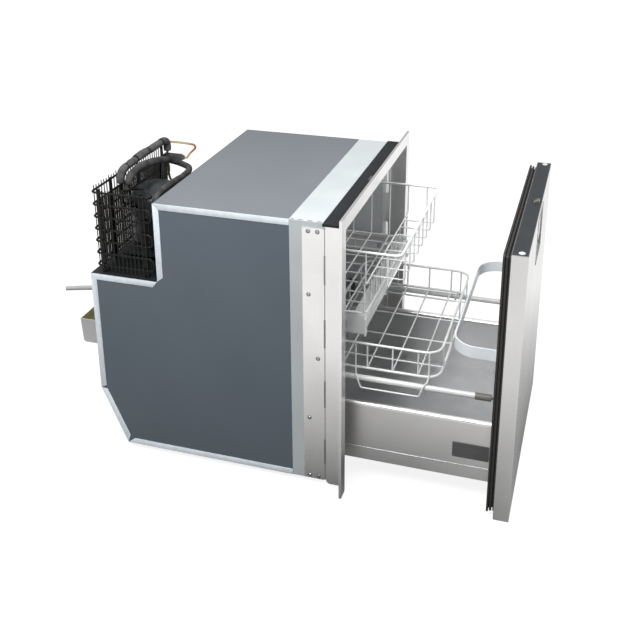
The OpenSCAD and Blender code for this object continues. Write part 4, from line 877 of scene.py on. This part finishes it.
class FRIDGE_OT_compressor(bpy.types.Operator):
    """Hermetic compressor on its feet, with its control unit"""
    bl_idname = "fridge.compressor"
    bl_label = "Compressor"

    def execute(self, context):
        enamel = black_enamel()
        dress(enamel, "unit_base_plate")
        dress(moulded_plastic("control_unit_plastic", "#2B3033", "#353A3D", 0.5), "control_unit")
        ease_edges(0.9, "control_unit")
        self.shell(enamel)
        self.feet()
        return {"FINISHED"}

    def shell(self, enamel):
        """Deep-drawn shell with a welded waist, a domed top and a ribbed foot plate."""
        lo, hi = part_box("compressor")
        centre = Vector(((lo.x + hi.x) / 2, middle(*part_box("compressor_grommets")).y, lo.z))
        tall, r = (hi.z - lo.z) / MM, 54
        rise = r * 0.64
        low = tall - rise
        angles = [math.radians(k * 7.5) for k in range(1, 12)]
        outline = [(0, 2), (40, 2), (47, 5), (51, 12), (52, 20), (52, 70), (53, 71.5), (55.6, 72), (56, 73),
                   (56, 76), (55.6, 77.5), (54, 78), (r, low),
                   *((r * math.cos(a), low + rise * math.sin(a)) for a in angles), (0, tall)]
        plate = Vector((hi.x - centre.x, 50 * MM, 3 * MM))
        rib = Vector((2 * MM, 44 * MM, 7 * MM))
        rib_place, rib_foot = 30 * MM, 2 * MM
        meshes = [turned_mesh("shell", outline, centre, steps=48),
                  slab_mesh("foot", (lo.x, centre.y - plate.y, lo.z), centre + plate, 0.9 * MM)]
        for x in (centre.x - rib_place, centre.x + rib_place):
            meshes.append(slab_mesh("rib", (x - rib.x, centre.y - rib.y, lo.z + rib_foot),
                                    (x + rib.x, centre.y + rib.y, lo.z + rib.z), 0.8 * MM))
        piece("compressor_shell", meshes, enamel, "cabinet", ("compressor",))

    def feet(self):
        """Ribbed rubber feet at the corners of the foot plate."""
        lo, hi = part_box("compressor_grommets")
        r, base = 8 * MM, lo.z
        profile = [(0, 0), (7.6, 0), (8, 0.6), (8, 2.4), (6.6, 3.2), (6.6, 4.6), (8, 5.2), (8, 7.4),
                   (7.4, 8), (3.8, 8), (3.8, 11.4), (3.2, 12), (0, 12)]
        feet = [turned_mesh("foot", profile, (x, y, base), steps=24)
                for x in (lo.x + r, hi.x - r) for y in (lo.y + r, hi.y - r)]
        piece("rubber_feet", feet, vulcanised_rubber("foot_rubber", "#1B1D1E", "#26282A"), "cabinet",
              ("compressor_grommets",))


class FRIDGE_OT_condenser(bpy.types.Operator):
    """Wire-on-tube condenser round two sides of the notch"""
    bl_idname = "fridge.condenser"
    bl_label = "Condenser"

    def execute(self, context):
        sizes = context.scene.fridge_pipes
        lacquer = condenser_lacquer("condenser_lacquer", "#070707", "#0E0E0D")
        lo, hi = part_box("condenser_tube")
        side, rear = lo.x + sizes.tube_r, hi.y - sizes.tube_r
        self.tube(sizes, lacquer, side, rear)
        dress(lacquer, "condenser_stays")
        self.wires(sizes, condenser_lacquer("wire_lacquer", "#161513", "#24221E"), side, rear)
        return {"FINISHED"}

    def tube(self, sizes, lacquer, side, rear):
        """One unbroken tube that runs back and forth, each run a step above the last."""
        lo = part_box("condenser_tube")[0]
        start = max(v.co.x for v in NODES["condenser_tube"].data.vertices)
        corners = []
        for i in range(sizes.tube_runs):
            z = lo.z + sizes.tube_r + i * sizes.tube_pitch
            end = lo.y + (11 * MM if i == sizes.tube_runs - 1 else sizes.tube_r)
            run = [(start, rear, z), (side, rear, z), (side, end, z)]
            corners += run if i % 2 == 0 else run[::-1]
        route = rounded(corners, sizes.tube_pitch * 0.48, steps=7)
        piece("condenser_serpentine", [rod_mesh("serpentine", [route], sizes.tube_r * 0.9, sides=4)],
              lacquer, "cabinet", ("condenser_tube",))

    def wires(self, sizes, lacquer, side, rear):
        """Upright wires on both faces of the tubes, the outer ones half a step beside the inner ones."""
        off, uneven = sizes.tube_r + sizes.fin_r, 1.2 * MM
        for name, node, pitches, inner_drop in (
                ("side_wires", "condenser_wires_side", (sizes.side_pitch, sizes.side_pitch), 7 * MM),
                ("rear_wires", "condenser_wires_rear", (sizes.inner_pitch, sizes.rear_pitch), 30 * MM)):
            lo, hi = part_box(node)
            along_side = name == "side_wires"
            k = 1 if along_side else 0
            rods = []
            for outer, pitch in enumerate(pitches):
                at, count = lo[k] + sizes.fin_r + outer * pitch / 2, 0
                while at < hi[k] - sizes.fin_r:
                    x, y = (side + (-off if outer else off), at) if along_side else (
                        at, rear + (off if outer else -off))
                    drop = (count % 3) * uneven if outer else inner_drop
                    rods.append([(x, y, lo.z), (x, y, hi.z - drop)])
                    at, count = at + pitch, count + 1
            piece(name, [rod_mesh(name, rods, sizes.fin_r, sides=1)], lacquer, "cabinet",
                  (node,))


class FRIDGE_OT_pipes(bpy.types.Operator):
    """Foam sleeves, copper pipes and drier over the compressor"""
    bl_idname = "fridge.pipes"
    bl_label = "Pipes"

    def execute(self, context):
        sizes = context.scene.fridge_pipes
        # Painted shade: near-black rods fill the gaps between lengths of foam
        gap_shade = vulcanised_rubber("sleeve_gap", "#121213", "#1A1A1B", 0.85)
        for name, route, joints, share, tone, replaced in (
                ("rear_foam_sleeve", SLEEVE_A, SLEEVE_A_JOINTS, 1.0, 1.0, ("suction_sleeves",)),
                # Painted shade: the front sleeve is the same foam made about a third darker
                ("front_foam_sleeve", SLEEVE_B, SLEEVE_B_JOINTS, 0.9, 0.66, ())):
            lengths, gap_shade_rods = self.lengths(route, joints, sizes.sleeve_r * share, sizes.sleeve_gap)
            piece(name, lengths, sponge_sleeve(name + "_sponge", tone), "cabinet", replaced)
            piece(name + "_gap_shade", gap_shade_rods, gap_shade, "cabinet")
        routes = [smooth_route(in_notch(r)) for r in (
            CAPILLARY, WALL_PIPE_A, WALL_PIPE_B, SHELL_PIPE_A, SHELL_PIPE_B, DISCHARGE, LIQUID)]
        piece("copper_tubes", [rod_mesh("copper", routes, sizes.pipe_r * 0.98, sides=4)], drawn_copper(),
              "cabinet", ("copper_pipes",))
        self.drier()
        return {"FINISHED"}

    def lengths(self, route, joints, radius, gap):
        """Separate lengths of foam hose on one pipe, with round ends, and near-black rods of painted shade
        in their gaps.
        """
        points = smooth_route(in_notch(route), 14)
        reach = [0.0]
        for a, b in zip(points, points[1:]):
            reach.append(reach[-1] + (b - a).length)
        whole, row = reach[-1], list(zip(points, reach))
        gap_shade_rods = []
        for joint in joints[1:-1]:
            near = [p - Vector((0, 0, 0.6 * MM)) for p, d in row if abs(d - joint * whole) < GAP_SHADE_REACH]
            gap_shade_rods.append(rod_mesh("core", [near], radius * 0.86, sides=7))
        meshes = []
        for a, b, (full, lift) in zip(joints, joints[1:], LENGTH_FITS):
            part = [(p, d) for p, d in row if a * whole + gap / 2 <= d <= b * whole - gap / 2]
            first, last = part[0][1], part[-1][1]
            thickness = []
            for _, d in part:
                end = min(d - first, last - d, FOAM_END) / FOAM_END
                dome = 0.5 + 0.5 * math.sqrt(1 - (1 - end) ** 2)
                belly = 0.9 + 0.1 * math.sin(math.pi * (d - first) / (last - first))
                ripple = math.sin(d / (7.3 * MM)) * 0.5 + math.sin(d / (4.1 * MM)) * 0.3
                thickness.append(full * dome * belly + 0.025 * ripple)
            lifted = [p + Vector((0, 0, lift * MM)) for p, _ in part]
            meshes.append(rod_mesh("length", [lifted], radius, sides=7, thickness=thickness))
        return meshes, gap_shade_rods

    def drier(self):
        """Filter drier in its shrink sleeve, with a soldered tip."""
        start, end = in_notch([(40, 104, 149), (119, 104, 120)])
        axis, steps = (end - start).normalized(), 28
        body = [(0, 0), (3.2, 0), (3.4, 5), (5.5, 8), (7.3, 9.5), (7.5, 11), (7.5, 68), (7.2, 70),
                (6.4, 71.5), (5.6, 76), (0, 76)]
        tip = [(0, 0), (5.9, 0), (6, 0.8), (5.6, 3.6), (3.4, 7.6), (0, 7.8)]
        tip_place = 76.2 * MM
        piece("drier_sleeve", [turned_mesh("drier", body, start, axis, steps)],
              vulcanised_rubber("shrink_sleeve", "#1A1B1C", "#2A2B2C", 0.45), "cabinet",
              ("filter_drier",))
        piece("drier_tip", [turned_mesh("tip", tip, start + axis * tip_place, axis, steps)], drier_band(),
              "cabinet")


class FRIDGE_OT_drain(bpy.types.Operator):
    """Drip tray, its brackets and the drain spout behind the cabinet"""
    bl_idname = "fridge.drain"
    bl_label = "Drain"

    def execute(self, context):
        dress(stained_tray(), "drip_tray")
        dress(zinc_plated_steel(), "drip_tray_bracket")
        dress(moulded_plastic("spout_plastic", "#A6A8A9", "#989A9B", 0.35), "drain_spout")
        ease_edges(0.8, "drip_tray")
        return {"FINISHED"}


class FRIDGE_OT_drawer(bpy.types.Operator):
    """Folded steel sides, floor, rails and covers of the drawer"""
    bl_idname = "fridge.drawer"
    bl_label = "Drawer"

    def execute(self, context):
        dress(brushed_stainless("brushed_drawer", ALONG_Y, 0.34), "drawer_side_left", "drawer_side_right",
              "drawer_back")
        dress(floor_sheet(), "drawer_floor")
        dress(moulded_plastic("cover_grey", "#505050", "#5A5A5A", 0.5), "side_covers", "rail_posts")
        dress(moulded_plastic("socket_grey", "#5F5C58", "#6B6863", 0.5), "rail_sockets")
        dress(powder_coated_white(), "gallery_rails")
        dress(brushed_stainless("bright_runner_steel", ALONG_Y, 0.4), "drawer_runners")
        ease_edges(0.4, "drawer_back")
        self.hems()
        return {"FINISHED"}

    def hems(self):
        """Bright folded lower edges of the drawer's sides, over the runners."""
        lo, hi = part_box("drawer_runners")
        x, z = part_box("drawer_side_left")[0].x - 0.2 * MM, hi.z + 0.5 * MM
        rods = [[(place, lo.y + 1 * MM, z), (place, hi.y - 1 * MM, z)] for place in (x, -x)]
        piece("side_hems", [rod_mesh("hem", rods, 0.6 * MM)], bright_metal_strip("hem_steel", 0.5),
              "drawer")


class FRIDGE_OT_door(bpy.types.Operator):
    """Steel skin, caps, gasket and latch of the door"""
    bl_idname = "fridge.door"
    bl_label = "Door"

    def execute(self, context):
        # Painted shade: the door's skin is the frame's stainless made a fifth darker
        dress(brushed_stainless("brushed_door", ALONG_Z, 0.26, 0.8, 0.004), "door_skin")
        dress(rigid_foam(), "door_core")
        dress(door_pan_plastic(), "door_liner")
        dress(cap_plastic(), "door_caps")
        dress(vulcanised_rubber("gasket_vinyl", "#211F1C", "#2E2C28", 0.55), "door_gasket")
        dress(moulded_plastic("latch_cup", "#A9ABAA", "#9B9D9C", 0.4), "latch_housing")
        dress(brushed_stainless("brushed_paddle", ALONG_X, 0.3), "latch_paddle")
        dress(nickel_plated_bolt(), "latch_bolt")
        ease_edges(1.2, "door_skin")
        ease_edges(0.8, "latch_bolt")
        self.plugs()
        self.seams()
        return {"FINISHED"}

    def plugs(self):
        """Dished white plugs in the upper cap."""
        lo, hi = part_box("cap_plugs")
        r = 5.6 * MM
        profile = [(0, 0), (5, 0), (5, 2), (5.6, 2), (5.5, 2.6), (4.6, 3), (3.6, 2.7), (3, 2.2), (1.6, 2.1),
                   (1.2, 2.5), (0, 2.6)]
        plugs = [turned_mesh("plug", profile, (x, middle(lo, hi).y, lo.z), steps=28)
                 for x in (lo.x + r, hi.x - r)]
        piece("dished_plugs", plugs, moulded_plastic("plug_white", "#C4C7C8", "#B2B5B6", 0.35), "drawer",
              ("cap_plugs",))

    def seams(self):
        """Pale edges of the inner sheet, along the caps on the gasket's side."""
        lo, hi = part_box("door_caps")
        r = 0.5 * MM
        inset, y = 2 * r, hi.y - 0.6 * MM
        rods = [[(lo.x + inset, y, z), (hi.x - inset, y, z)] for z in (lo.z + r, hi.z)]
        piece("cap_edge_lines", [rod_mesh("edges", rods, r)], bright_metal_strip("sheet_edge", 0.3),
              "drawer")


class FRIDGE_OT_baskets(bpy.types.Operator):
    """Wire baskets, the upper basket's carrier and the retainer at the drawer's front"""
    bl_idname = "fridge.baskets"
    bl_label = "Baskets"

    def execute(self, context):
        vinyl = vinyl_dipped_wire()
        self.upper_basket(context.scene.fridge_wires, vinyl)
        self.middle_basket(context.scene.fridge_wires, vinyl)
        dress(carrier_sheet(), "basket_carrier")
        dress(moulded_plastic("end_block_white", "#DEDFDE", "#CFD0CF", 0.35), "carrier_end_blocks")
        dress(frosted_retainer(), "bottle_retainer")
        ease_edges(0.5, "carrier_end_blocks")
        return {"FINISHED"}

    def basket(self, sizes, name, rims, wires, material, body, node):
        """One basket from its thick rims and thin wires."""
        piece(name, [rod_mesh("rims", rims, sizes.rim_r, True, 4), rod_mesh("wires", wires, sizes.wire_r)],
              material, body, (node,))

    def upper_basket(self, sizes, vinyl):
        """Upper basket: a shallow raised floor in front, then a step down to the deep part."""
        lo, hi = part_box("upper_basket")
        x = hi.x - sizes.rim_r
        front, rear = lo.y + sizes.rim_r, hi.y - sizes.rim_r
        top = hi.z - sizes.rim_r
        ledge, deep = top - sizes.upper_shallow, top - sizes.upper_deep
        step = front + sizes.upper_step
        rims = [rounded([(x, a, z), (x, rear, z), (-x, rear, z), (-x, a, z)], sizes.rim_corner, True)
                for a, z in ((front, top), (step, deep))]
        rows = [(front + 23 * MM, ledge), (step, ledge)]
        y = step + sizes.upper_pitch
        while y < rear - 8 * MM:
            rows.append((y, deep))
            y += sizes.upper_pitch
        wires = [rounded([(-x, y, top), (-x, y, z), (x, y, z), (x, y, top)], sizes.wire_corner)
                 for y, z in rows]
        post = step + 2 * MM
        wires += [[(side, post, ledge), (side, post, deep)] for side in (-x, x)]
        for i in range(8):
            a = (i - 3.5) * sizes.upper_pitch
            wires.append(rounded([(a, front, top), (a, front, ledge), (a, step, ledge), (a, step, deep),
                                  (a, rear, deep), (a, rear, top)], sizes.wire_corner))
        self.basket(sizes, "upper_basket_wires", rims, wires, vinyl, "upper_shelf", "upper_basket")

    def middle_basket(self, sizes, vinyl):
        """Middle basket: shallow, with a loop and a hook over the rail on each side."""
        lo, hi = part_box("middle_basket")
        rail_lo, rail_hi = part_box("gallery_rails")
        rail_r = (rail_hi.z - rail_lo.z) / 2
        rail_x, rail_z = rail_hi.x - rail_r, rail_lo.z + rail_r
        x = 178 * MM
        top = hi.z - sizes.rim_r
        floor = top - sizes.middle_depth
        front, rear = lo.y + sizes.rim_r, hi.y - sizes.rim_r
        rims = [rounded([(x, front, z), (x, rear, z), (-x, rear, z), (-x, front, z)], sizes.middle_corner,
                        True, 8) for z in (top, floor)]
        wires = []
        for k in range(1, 5):
            y = rear - k * sizes.middle_pitch
            wires.append(rounded([(-x, y, top), (-x, y, floor), (x, y, floor), (x, y, top)],
                                 sizes.wire_corner))
        for i in range(4):
            a = (i - 1.5) * sizes.middle_long_pitch
            wires.append(rounded([(a, front, top), (a, front, floor), (a, rear, floor), (a, rear, top)],
                                 sizes.wire_corner))
        over = rail_z + rail_r + 0.3 * MM + sizes.wire_r
        under = rail_z - rail_r - 11 * MM
        out, lean = rail_x + rail_r + sizes.wire_r + 0.4 * MM, x + 5 * MM
        hook_y, hook_low = rail_hi.y - 74 * MM, rail_z - 4 * MM
        a, b = front + 19 * MM, rear - 73 * MM
        loop = [(x, a, top), (x, a, floor), (lean, a + 2 * MM, over), (out, a + 6 * MM, over),
                (out, a + 14 * MM, under), (out, b - 14 * MM, under), (out, b - 6 * MM, over),
                (lean, b - 2 * MM, over), (x, b, floor), (x, b, top)]
        hook = [(x, hook_y, floor), (lean, hook_y, over), (out, hook_y, over), (out, hook_y, hook_low)]
        for side in (-1, 1):
            for route in (loop, hook):
                wires.append(rounded([(side * p[0], p[1], p[2]) for p in route], 3.4 * MM))
        self.basket(sizes, "middle_basket_wires", rims, wires, vinyl, "lower_basket", "middle_basket")


class FRIDGE_PT_panel(bpy.types.Panel):
    """Lists the pieces and their settings"""
    bl_idname = "FRIDGE_PT_panel"
    bl_label = "Refrigerator"
    bl_space_type = "VIEW_3D"
    bl_region_type = "UI"
    bl_category = "Refrigerator"

    def draw(self, context):
        for step in STEPS:
            self.layout.operator(step.bl_idname)
        for group in (context.scene.fridge_finish, context.scene.fridge_wires, context.scene.fridge_pipes,
                      context.scene.fridge_stage):
            box = self.layout.box()
            for name in group.bl_rna.properties.keys()[2:]:
                box.prop(group, name)


STEPS = (FRIDGE_OT_stage, FRIDGE_OT_cabinet, FRIDGE_OT_frame, FRIDGE_OT_cavity, FRIDGE_OT_compressor,
         FRIDGE_OT_condenser, FRIDGE_OT_pipes, FRIDGE_OT_drain, FRIDGE_OT_drawer, FRIDGE_OT_door,
         FRIDGE_OT_baskets)
GROUPS = {"fridge_stage": StageSettings, "fridge_finish": FinishSettings, "fridge_wires": WireSettings,
          "fridge_pipes": PipeSettings}


def register():
    """Registers the settings, the steps and the panel."""
    for c in (*GROUPS.values(), *STEPS, FRIDGE_PT_panel):
        bpy.utils.register_class(c)
    for name, group in GROUPS.items():
        setattr(bpy.types.Scene, name, bpy.props.PointerProperty(type=group))


def unregister():
    """Takes them away again."""
    for name in GROUPS:
        delattr(bpy.types.Scene, name)
    for c in reversed((*GROUPS.values(), *STEPS, FRIDGE_PT_panel)):
        bpy.utils.unregister_class(c)


def main():
    """Registers the add-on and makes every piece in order."""
    register()
    bpy.ops.fridge.stage()
    bpy.ops.fridge.cabinet()
    bpy.ops.fridge.frame()
    bpy.ops.fridge.cavity()
    bpy.ops.fridge.compressor()
    bpy.ops.fridge.condenser()
    bpy.ops.fridge.pipes()
    bpy.ops.fridge.drain()
    bpy.ops.fridge.drawer()
    bpy.ops.fridge.door()
    bpy.ops.fridge.baskets()


if __name__ == "__main__":
    main()
